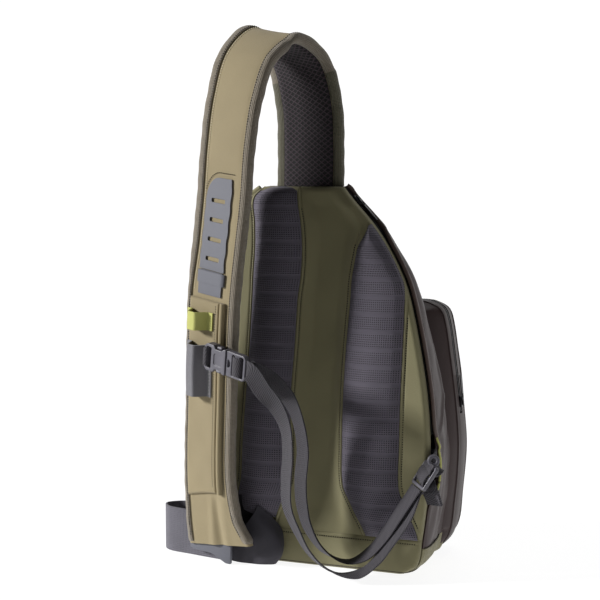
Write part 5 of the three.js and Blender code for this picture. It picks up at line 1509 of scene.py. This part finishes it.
def loop(name, low, height, thickness, wave):
    a = np.linspace(POUCH_LEFT, POUCH_LEFT + LOOP_SPAN, 45)
    rise, slope = arch(a)
    length = np.hypot(1, slope)
    marks = np.linspace(low, low + height, max(8, int(height / 2)))

    def section(mark, left, right):
        soft = wave * np.clip(
            (rise - LOOP_BASE) / LOOP_RISE, 0, 1
        ) * math.sin((mark - low) / height * math.pi)
        shift = slope / length * thickness * 0.5
        upper = np.stack([a - shift, rise + soft + thickness * (0.5 + 0.5 / length)], 1)
        lower = np.stack([a + shift, rise + soft + thickness * (0.5 - 0.5 / length)], 1)
        return [*map(tuple, upper), *map(tuple, lower[::-1])]

    return swept(name, marks, section, marks)


placed(loop("lime_tool_loop", TOOL_LOW, TOOL_HEIGHT, WEB, -0.5), lime, "lime", "tool_loop")
sleeve = loop("felt_sleeve", SLEEVE_LOW, SLEEVE_HEIGHT, WEB, 0.8)
placed(sleeve, felt, "grey_webbing", "fly_sleeve")
white_thread = mottled("white_thread", "c9c7c2", 0.85, (800, 1, 0.15), (2500, 1, 0.0001))
foot_right = POUCH_LEFT + LOOP_SPAN - 2.2
stitches(
    "sleeve_stitches",
    [strap_line(np.linspace(SLEEVE_LOW, SLEEVE_LOW + SLEEVE_HEIGHT, 30), foot_right, LOOP_BASE + WEB)],
    white_thread, "grey_webbing", 3.6, 2.3, 0.34
)
stitches(
    "loop_stitches",
    [strap_line(np.linspace(TOOL_LOW, TOOL_LOW + TOOL_HEIGHT, 12), foot_right, LOOP_BASE + WEB)], dark_thread_hole_shade,
    "lime", 2.6, 1.7, 0.3
)

# Side-release buckle of the stabiliser: moulded acetal socket and plug lying across the strap, the plug
# ending in a ladder lock that grips the webbing.
NARROW, BUCKLE_WIDTH, BUCKLE_THICK, BUCKLE_BAR = 20, 29, 9, 3
SOCKET_LENGTH, PLUG_LENGTH, SOCKET_SLOT = 31, 28, 7
HALF_BUCKLE, HALF_SLOT, SLOT_END = BUCKLE_WIDTH / 2, NARROW / 2 + 1.2, BUCKLE_BAR + SOCKET_SLOT
turn_angle = math.radians(4)
b_at, b_across, b_out, _, _ = (q[0] for q in strap_frames([216]))
b_up = np.cross(b_out, b_across)
b_x = unit(b_across * math.cos(turn_angle) - b_up * math.sin(turn_angle))
b_z = unit(b_out - b_x * (b_out @ b_x))
b_y = np.cross(b_z, b_x)
b_origin = (
    b_at + b_across * (POUCH_LEFT + LOOP_SPAN + HALF_BUCKLE * math.sin(turn_angle) + 0.3)
    + b_out * (FACE + CORD_HEIGHT + WEB + 0.9)
)


BUCKLE = b_origin, b_x, b_y, b_z


def within(frame, points):
    """Points given in the frame of a buckle or adjuster, in the bag's own."""
    origin, x, y, z = frame
    points = np.atleast_2d(points)
    return origin + points[:, :1] * x + points[:, 1:2] * y + points[:, 2:3] * z


def fitted(piece, frame, width, *nodes, segments=3):
    """A moulded piece softened at its edges, stood in its frame and finished as acetal."""
    softened(piece, width, segments)
    stood(piece, *frame)
    return placed(piece, plastic, "plastic", *nodes, angle=35)


socket = moulded(
    "buckle_socket_body",
    [
        (0, -11.6), (3, -14.3), (13, -14.5), (16, -10.7), (24.2, -10.7), (27.5, -13.4), (31, -13.6),
        (31, 13.6), (27.5, 13.4), (24.2, 10.7), (16, 10.7), (13, 14.5), (3, 14.3), (0, 11.6)
    ],
    0, BUCKLE_THICK
)
cut(
    socket, moulded("slot", rounded(BUCKLE_BAR, -HALF_SLOT, SLOT_END, HALF_SLOT, 1.2), -1, BUCKLE_THICK + 1),
    moulded("mouth", rounded(17, -9.4, 33, 9.4, 1), 2.2, BUCKLE_THICK - 2.2),
    moulded("dish", rounded(14, -6.5, 27, 6.5, 3), BUCKLE_THICK - 0.8, BUCKLE_THICK + 1)
)
fitted(socket, BUCKLE, 1.0, "buckle_socket")

PLUG_START, PLUG_END = SOCKET_LENGTH + 0.3, SOCKET_LENGTH + 0.3 + PLUG_LENGTH
bar_from = PLUG_END - 5.3 * BUCKLE_BAR
plug = moulded(
    "buckle_plug_frame",
    rounded(PLUG_START, -HALF_BUCKLE * 0.93, PLUG_END, HALF_BUCKLE * 0.93, [2, 4.5, 4.5, 2], 5), 1,
    BUCKLE_THICK - 1.5
)
quarter_turns = np.linspace(-math.pi / 2, math.pi / 2, 9)
eye_outline = [(PLUG_START + 2 + 4.2 * math.cos(t), 4.4 * math.sin(t)) for t in quarter_turns]
cut(
    plug, moulded("slot", rounded(bar_from - 3.9, -HALF_SLOT, bar_from, HALF_SLOT, 1.5), -1, 10),
    moulded("slot", rounded(bar_from + 6.9, -HALF_SLOT, PLUG_END - BUCKLE_BAR, HALF_SLOT, 1.5), -1, 10),
    moulded("eye", eye_outline, 5, 10)
)
fitted(plug, BUCKLE, 0.9, "buckle_plug")
for side in (-1, 1):
    arm = moulded(
        f"buckle_arm_{'low' if side < 0 else 'high'}",
        rounded(16.6, min(side * 11.2, side * 14.1), 23.8, max(side * 11.2, side * 14.1), 1.3), 1.6,
        BUCKLE_THICK - 1.6
    )
    fitted(arm, BUCKLE, 0.9)

# Narrow webbing, 20 mm wide and finely ribbed: the tab that holds the socket, two runs that hang from the
# plug to the adjuster at the bag's right edge, the anchor from the slot and the free end, folded and sewn.
ribbed = Finish("ribbed_webbing", "353238", 0.8, Sheen_Weight=0.1)
wu, wv = ribbed.cloth_map()
rib = (wv + wu * 0.45).off(0.0021)
ribbed.shade(
    Base_Color=ribbed.shaded(rib * 0.6 + ribbed.noise(60, 3) * 0.2 + ribbed.noise(1200, 1) * 0.2, 0.42)
)
ribbed.raised(rib.step(0.1, 0.8) + wu.off(0.0026) * 0.35, 0.0004)


def run_frames(places, widths, steps):
    """Places, directions across and outward faces along a smooth line whose width turns on its way."""
    path, share = Path(places), np.linspace(0, 1, steps)
    index = path.mark(share) * (len(widths) - 1)
    before = np.minimum(index.astype(int), len(widths) - 2)
    widths, ahead = np.array(widths, float), path.heading(share)
    t = (index - before)[:, None]
    across = upright(widths[before] * (1 - t) + widths[before + 1] * t, ahead)
    return path.place(share), across, unit(np.cross(ahead, across))


def webbing(name, frames, width, thickness, cup=0.0, thick_from=None):
    """A flat strap along frames, its edges rounded, a little cupped across its width."""
    at, across, out = frames
    half, t = width / 2, thickness / 2
    a = np.linspace(-1, 1, 13)
    rows = []
    for k in range(len(at)):
        grow = 1 if thick_from is None or k < thick_from * len(at) else 2
        edge = t * grow
        upper = np.stack([a * (half - 0.35), edge + cup * (a**2 - 0.5)], 1)
        lower = np.stack([a[::-1] * (half - 0.35), -edge + cup * (a[::-1] ** 2 - 0.5)], 1)
        section = np.concatenate([
            upper, [[half, cup * 0.5 + edge * 0.45], [half, cup * 0.5 - edge * 0.45]], lower,
            [[-half, cup * 0.5 - edge * 0.45], [-half, cup * 0.5 + edge * 0.45]]
        ])
        rows.append(at[k] + section[:, :1] * across[k] + section[:, 1:] * out[k])
    grid = np.array(rows)
    along = travelled(at)
    across_map = np.concatenate([a * half, [half, half], a[::-1] * half, [-half, -half], [-half]]) + half
    return outward(cloth(name, grid, around=True, ends=True, across=across_map, along=along))


def narrow(name, places, widths, steps, *nodes, cup=0.0, thick_from=None):
    """A run of the narrow webbing through its places."""
    strip = webbing(name, run_frames(places, widths, steps), NARROW, WEB, cup, thick_from)
    placed(strip, ribbed, "grey_webbing", *nodes)


under = -0.3 - WEB / 2
over_bar = BUCKLE_THICK + 0.3 + WEB / 2
tab_side = [
    (SOCKET_LENGTH * 0.7, under), (BUCKLE_BAR + SOCKET_SLOT + 1, under),
    (BUCKLE_BAR + SOCKET_SLOT * 0.45, 0.5), (BUCKLE_BAR + 2.2, BUCKLE_THICK - 2),
    (BUCKLE_BAR + 0.4, over_bar), (0, over_bar)
]
tab_places = within(BUCKLE, [(x, 0, z) for x, z in tab_side])
narrow("buckle_tab_webbing", tab_places, [b_y] * 6, 40, "buckle_tab")
over_grip = BUCKLE_THICK - 1.5 + 0.4 + WEB / 2
grip_side = [
    (bar_from - 2.2, 2.2), (bar_from - 1.9, over_grip - 1.8), (bar_from + 1.2, over_grip + 0.4),
    (bar_from + 3.4, over_grip + 0.7), (bar_from + 5.7, over_grip + 0.4), (bar_from + 8.7, over_grip - 1.8),
    (bar_from + 9.0, 2.2)
]
grip_places = within(BUCKLE, [(x, 0, z) for x, z in grip_side])
narrow("plug_webbing", grip_places, [b_y] * 7, 44)

OUTER_RUN = [
    (0.1, 0.954, 0.905, 0.25, -0.25, 0.93), (0.166, 0.86, 0.83, 0.5, -0.4, 0.75),
    (0.21, 0.76, 0.725, 0.7, -0.55, 0.4), (0.215, 0.71, 0.6, 0.8, -0.6, 0.05),
    (0.19, 0.65, 0.46, 0.8, -0.6, -0.05), (0.19, 0.62, 0.34, 0.78, -0.62, 0.1),
    (0.25, 0.59, 0.225, 0.6, -0.7, 0.35), (0.344, 0.57, 0.115, 0.4, -0.8, 0.4),
    (0.49, 0.545, 0.043, 0.1, -0.92, 0.35), (0.66, 0.496, 0.045, 0.1, -0.92, -0.3),
    (0.77, 0.44, 0.115, 0.35, -0.85, -0.35), (0.853, 0.38, 0.21, 0.5, -0.78, -0.38),
    (0.945, 0.33, 0.32, 0.55, -0.75, -0.36)
]
INNER_RUN = [
    (0.1, 0.82, 0.945, 0.25, -0.25, 0.93), (0.184, 0.64, 0.86, 0.55, -0.45, 0.7),
    (0.234, 0.52, 0.745, 0.8, -0.55, 0.25), (0.253, 0.448, 0.6, 0.84, -0.52, 0.05),
    (0.228, 0.4, 0.45, 0.86, -0.5, -0.05), (0.228, 0.36, 0.33, 0.84, -0.5, 0.15),
    (0.266, 0.33, 0.215, 0.65, -0.62, 0.4), (0.36, 0.295, 0.115, 0.35, -0.8, 0.45),
    (0.52, 0.29, 0.072, 0.1, -0.95, 0.1), (0.67, 0.31, 0.115, 0.35, -0.85, -0.35),
    (0.79, 0.32, 0.21, 0.5, -0.78, -0.38), (0.905, 0.3, 0.34, 0.55, -0.75, -0.36)
]
ADJUSTER_LENGTH, ADJUSTER_WIDTH, ADJUSTER_THICK, ADJUSTER_BAR, ADJUSTER_HEIGHT = 28, 27, 4.5, 3.6, 112
a_up = ADJUSTER_HEIGHT / BAG_HEIGHT
a_origin = np.array([float(smooth(OUTLINE, "right", a_up)) * HALF, PANEL_FRONT_Y - 17, ADJUSTER_HEIGHT])
a_x = np.array([-0.48, -0.26, -0.84])
a_y = unit(np.array(OUTER_RUN[-1][3:]))
a_z = unit(np.cross(a_y, a_x))
a_x = unit(a_x)
a_z = unit(a_z - a_x * (a_z @ a_x))
ADJUSTER = a_origin, a_x, np.cross(a_z, a_x), a_z
HALF_LENGTH, WINDOW = ADJUSTER_LENGTH / 2, (ADJUSTER_LENGTH - 3 * ADJUSTER_BAR) / 2


def stabiliser(name, table, buckle_level, adjuster_level, node):
    start, leaving = within(BUCKLE, [(PLUG_END + 0.6, 0, buckle_level), (PLUG_END + 5, 0, buckle_level)])
    reaching, end = within(ADJUSTER, [
        (HALF_LENGTH + 5, 0, adjuster_level), (HALF_LENGTH + 0.9, 0, adjuster_level)
    ])
    places = [
        (
            start[0] + along * (end[0] - start[0]), PANEL_FRONT_Y - out * (PANEL_FRONT_Y - start[1]),
            up * start[2]
        )
        for along, out, up, *_ in table
    ]
    widths = [b_y, b_y, *[row[3:] for row in table], a_y, a_y]
    narrow(name, [start, leaving, *places, reaching, end], widths, 260, node, cup=0.5)


stabiliser("stabiliser_outer_webbing", OUTER_RUN, BUCKLE_THICK * 0.62, WEB, "stabiliser_outer")
stabiliser("stabiliser_inner_webbing", INNER_RUN, BUCKLE_THICK * 0.2, -WEB, "stabiliser_inner")

anchor_edge, anchor_height = a_origin[0], ADJUSTER_HEIGHT + ADJUSTER_LENGTH * 0.46
slot_middle = (RIM_Y + LIP["y"][-1] - 1.8) / 2
upper_window = -HALF_LENGTH + ADJUSTER_BAR + WINDOW / 2
lower_window = -upper_window
clear = ADJUSTER_THICK / 2 + 0.3 + WEB
anchor_places = np.concatenate([
    [
        (anchor_edge - 7, slot_middle, anchor_height), (anchor_edge + 1.5, slot_middle, anchor_height),
        (anchor_edge + 5.5, PANEL_BACK_Y - 2, anchor_height + 1)
    ],
    within(ADJUSTER, [
        (upper_window - 2, 0, clear + 1), (upper_window + 1, 0, 0), (upper_window - 2, 0, -clear + 1.4),
        (-HALF_LENGTH, 0, -clear + 1)
    ]),
])
narrow("side_anchor_webbing", anchor_places, [(0.1, 0, -1)] * 3 + [a_y] * 4, 70, "side_anchor")
grip = [(-9.4, 1.2), (-7.2, -1.6), (-3.8, -3.4), (0, -3.9), (3.8, -3.4), (7.2, -1.6), (9.4, 1.2)]
narrow("adjuster_webbing", within(ADJUSTER, [(x, 0, z) for x, z in grip]), [a_y] * 7, 30)
tail_places = np.concatenate([
    within(ADJUSTER, [(lower_window, 0, 1), (lower_window + 1.5, 0, clear + 0.6)]),
    [
        (anchor_edge + 5, PANEL_FRONT_Y - 19, 99), (anchor_edge + 8, PANEL_FRONT_Y - 18, 91),
        (anchor_edge + 10, PANEL_FRONT_Y - 15, 82)
    ],
])
tail_widths = [a_y, a_y, *[(0.9, -0.25, -0.3)] * 3]
narrow("stabiliser_free_end", tail_places, tail_widths, 40, "stabiliser_tail", thick_from=0.5)

# Adjuster at the bag's right edge: a moulded frame with two windows, its upper bar a thick round barrel.
adjuster = moulded(
    "side_adjuster_frame",
    rounded(-HALF_LENGTH, -ADJUSTER_WIDTH / 2, HALF_LENGTH, ADJUSTER_WIDTH / 2, 3.2, 5), -ADJUSTER_THICK / 2,
    ADJUSTER_THICK / 2
)
for end in (-1, 1):
    a, b = sorted((end * ADJUSTER_BAR / 2, end * (ADJUSTER_BAR / 2 + WINDOW)))
    cut(adjuster, moulded("window", rounded(a, -HALF_SLOT, b, HALF_SLOT, 1.4), -5, 5))
fitted(adjuster, ADJUSTER, 1.1, "side_adjuster")


def disc(radius, count):
    turns = np.linspace(0, 2 * math.pi, count, endpoint=False)
    return [(radius * math.cos(t), radius * math.sin(t)) for t in turns]


knob = cut(moulded("side_adjuster_eye", disc(6.4, 28), -3.4, 3.4), moulded("hole", disc(2.5, 20), -5, 5))
knob_z = unit(np.array([0.36, -0.92, 0.12]))
knob_x = unit(np.cross([0, 0, 1], knob_z))
knob_at = within(ADJUSTER, [(-HALF_LENGTH - 3.5, 0, -1.5)])[0]
fitted(knob, (knob_at, knob_x, np.cross(knob_z, knob_x), knob_z), 1.6, segments=4)

# Wing: a sheet of closed foam faced with grey cloth, sewn across the panel's lower left corner and curving
# round to the left behind the strap's foot. Its inner face is near-black: painted shade inside its curl.
WING = [
    (0, -0.6, 0.006, -0.56, 0.2), (0.16, -0.53, 0.006, -0.5, 0.24), (0.32, -0.51, 0.006, -0.485, 0.26),
    (0.55, -0.53, 0.006, -0.52, 0.26), (0.78, -0.59, 0.16, -0.6, 0.28), (1, -0.72, 0.25, -0.76, 0.3),
]
wing_table = {key: [row[k] for row in WING] for k, key in enumerate(("up", "seam", "lift", "bulge", "out"))}
WIDE_WEB, WING_HEIGHT, WING_THICK, FLOOR_GAP = 50, 64, 2.5, 0.4
FORWARD, END, END_FORWARD = 0.3, -1.13, 0.19


def wing_wall(up, low_end):
    """Places along the wing at a share of its height, its far end standing as high as low_end tells."""
    seam, lift, bulge, out = (float(smooth(wing_table, key, up)) for key in ("seam", "lift", "bulge", "out"))
    low, end = FLOOR_GAP + up * WING_HEIGHT, FLOOR_GAP + up * WIDE_WEB * low_end
    spot = lambda x, forward, z: (x * HALF, PANEL_FRONT_Y - forward * STRAP_REACH, z)
    return Path([
        spot(seam, lift, low), spot(bulge, out, low * (0.7 + 0.3 * low_end)),
        spot(min(bulge - 0.12, -0.8), FORWARD, low * (0.25 + 0.75 * low_end)),
        spot((END - 0.87) / 2, (FORWARD + END_FORWARD) / 2, (low + 2 * end) / 3 * (0.3 + 0.7 * low_end)),
        spot(END, END_FORWARD, end),
    ])


sides = {1: [], -1: []}
for up in np.linspace(0, 1, 36):
    path, share = wing_wall(up, 0.42), np.linspace(0, 1, 60)
    ahead, at = path.heading(share), path.place(share)
    normal = unit(np.stack([-ahead[:, 1], ahead[:, 0], 0 * share], 1))
    at = at + normal * 0.5 * np.sin(share * 21 + up * 5)[:, None] * (share * (1 - share) * 4)[:, None]
    for side in sides:
        sides[side].append(at + normal * side * WING_THICK * 0.5)
wing_grey = woven("wing_foam", "35333a", 0.0012, 0.0002, 0.85, 0.08)
wing_shade = mottled("wing_painted_shade", "1b1a1d", 0.9, (60, 3, 0.3), (500, 3, 0.0003))
wing = slab("foot_wing", np.array(sides[1]), np.array(sides[-1]))
lined = np.array(sides[1]).reshape(-1, 3), np.array(sides[-1]).reshape(-1, 3)
placed(wing, (wing_grey, wing_shade), "wing_foam", "strap_wing")
# Faces on the wing's inner side take the painted shade.
middles = [np.array(face.center) / MM for face in wing.data.polygons]
for face, middle in zip(wing.data.polygons, middles):
    near = [((side - middle) ** 2).sum(1).min() for side in lined]
    face.material_index = 1 if near[0] > near[1] else 0
# A near-black sheet between the wing and the panel, its top folded over once: painted shadow there.
xs, zs = np.meshgrid(np.linspace(-0.98, -0.65, 40) * HALF, np.linspace(3, 74, 50))
zs = zs * (1 - 0.12 * eased(xs / HALF, -0.68, -0.6)) - 1.5
ys = (
    np.minimum(panel_front(xs, np.maximum(zs, 38)), PANEL_FRONT_Y - 4) - 5.6
    - 1.6 * bump(xs / HALF + 0.62 + (74 - zs) * 0.003, 0, 0.05) - 0.5 * np.sin(xs / 6 + zs / 9)
)
front = np.stack([xs, ys, zs], 2)
back = front + [0, 1.2, 0]
placed(slab("wing_shade_patch", front, back), wing_shade, "wing_foam")

# Wide webbing at the foot: 50 mm mesh webbing standing on edge and doubled round, left of the strap's foot.
wide_mesh = Finish("wide_mesh_webbing", "5d5b64", 0.85, Sheen_Weight=0.2)
mu, mv = wide_mesh.cloth_map()
pit = (mu.off(0.0021) * mv.off(0.0021)).step(0.25, 0.7)
wide_mesh.shade(Base_Color=wide_mesh.mix(pit, wide_mesh.shaded(wide_mesh.noise(50, 3), 0.18), tint("38363d")))
wide_mesh.raised(1 - pit, 0.0004)
f_at, f_across, f_out, _, _ = (q[0] for q in strap_frames([0]))


def foot_back(a, b):
    place = f_at + f_across * a - f_out * b
    return (place[0], place[1], FLOOR_GAP + WIDE_WEB / 2)


WEB_BEHIND = PAD_HALF + 3 + 1 + 0.9
loop_left = -STRAP_WIDTH / 2 - 48
hairpin = [
    foot_back(4, WEB_BEHIND), foot_back(-STRAP_WIDTH / 2, WEB_BEHIND),
    foot_back(loop_left + 12, WEB_BEHIND + 2), foot_back(loop_left, WEB_BEHIND + 16),
    foot_back(loop_left + 13.92, WEB_BEHIND + 32), foot_back(-STRAP_WIDTH / 2, WEB_BEHIND + 25.6),
    (END * HALF - 2.3, PANEL_FRONT_Y - END_FORWARD * STRAP_REACH + 1, FLOOR_GAP + WIDE_WEB / 2)
]
placed(
    webbing("wide_foot_webbing", run_frames(hairpin, [(0, 0, 1)] * 7, 220), WIDE_WEB, 2), wide_mesh,
    "grey_webbing", "wide_webbing"
)

# End tab under the strap's foot: laminate folded to a point, hanging to the floor.
f_down = np.cross(f_out, f_across)
tab_floor = lambda a: -(f_at[2] - FLOOR_GAP + a * f_across[2]) / f_down[2]
END_TAB = 46
tab = moulded(
    "foot_end_tab",
    [
        (-END_TAB * 0.7, -0.3), (-END_TAB * 0.7, -6), (-END_TAB * 0.1, -11),
        (END_TAB * 0.3, tab_floor(END_TAB * 0.3)), (END_TAB * 0.42, tab_floor(END_TAB * 0.42)),
        (END_TAB * 0.5, -0.3)
    ],
    -2, 2
)
softened(tab, 0.6, 2)
stood(tab, f_at, f_across, f_down, f_out)
placed(tab, laminate, "laminate", "strap_end_tab", angle=30)
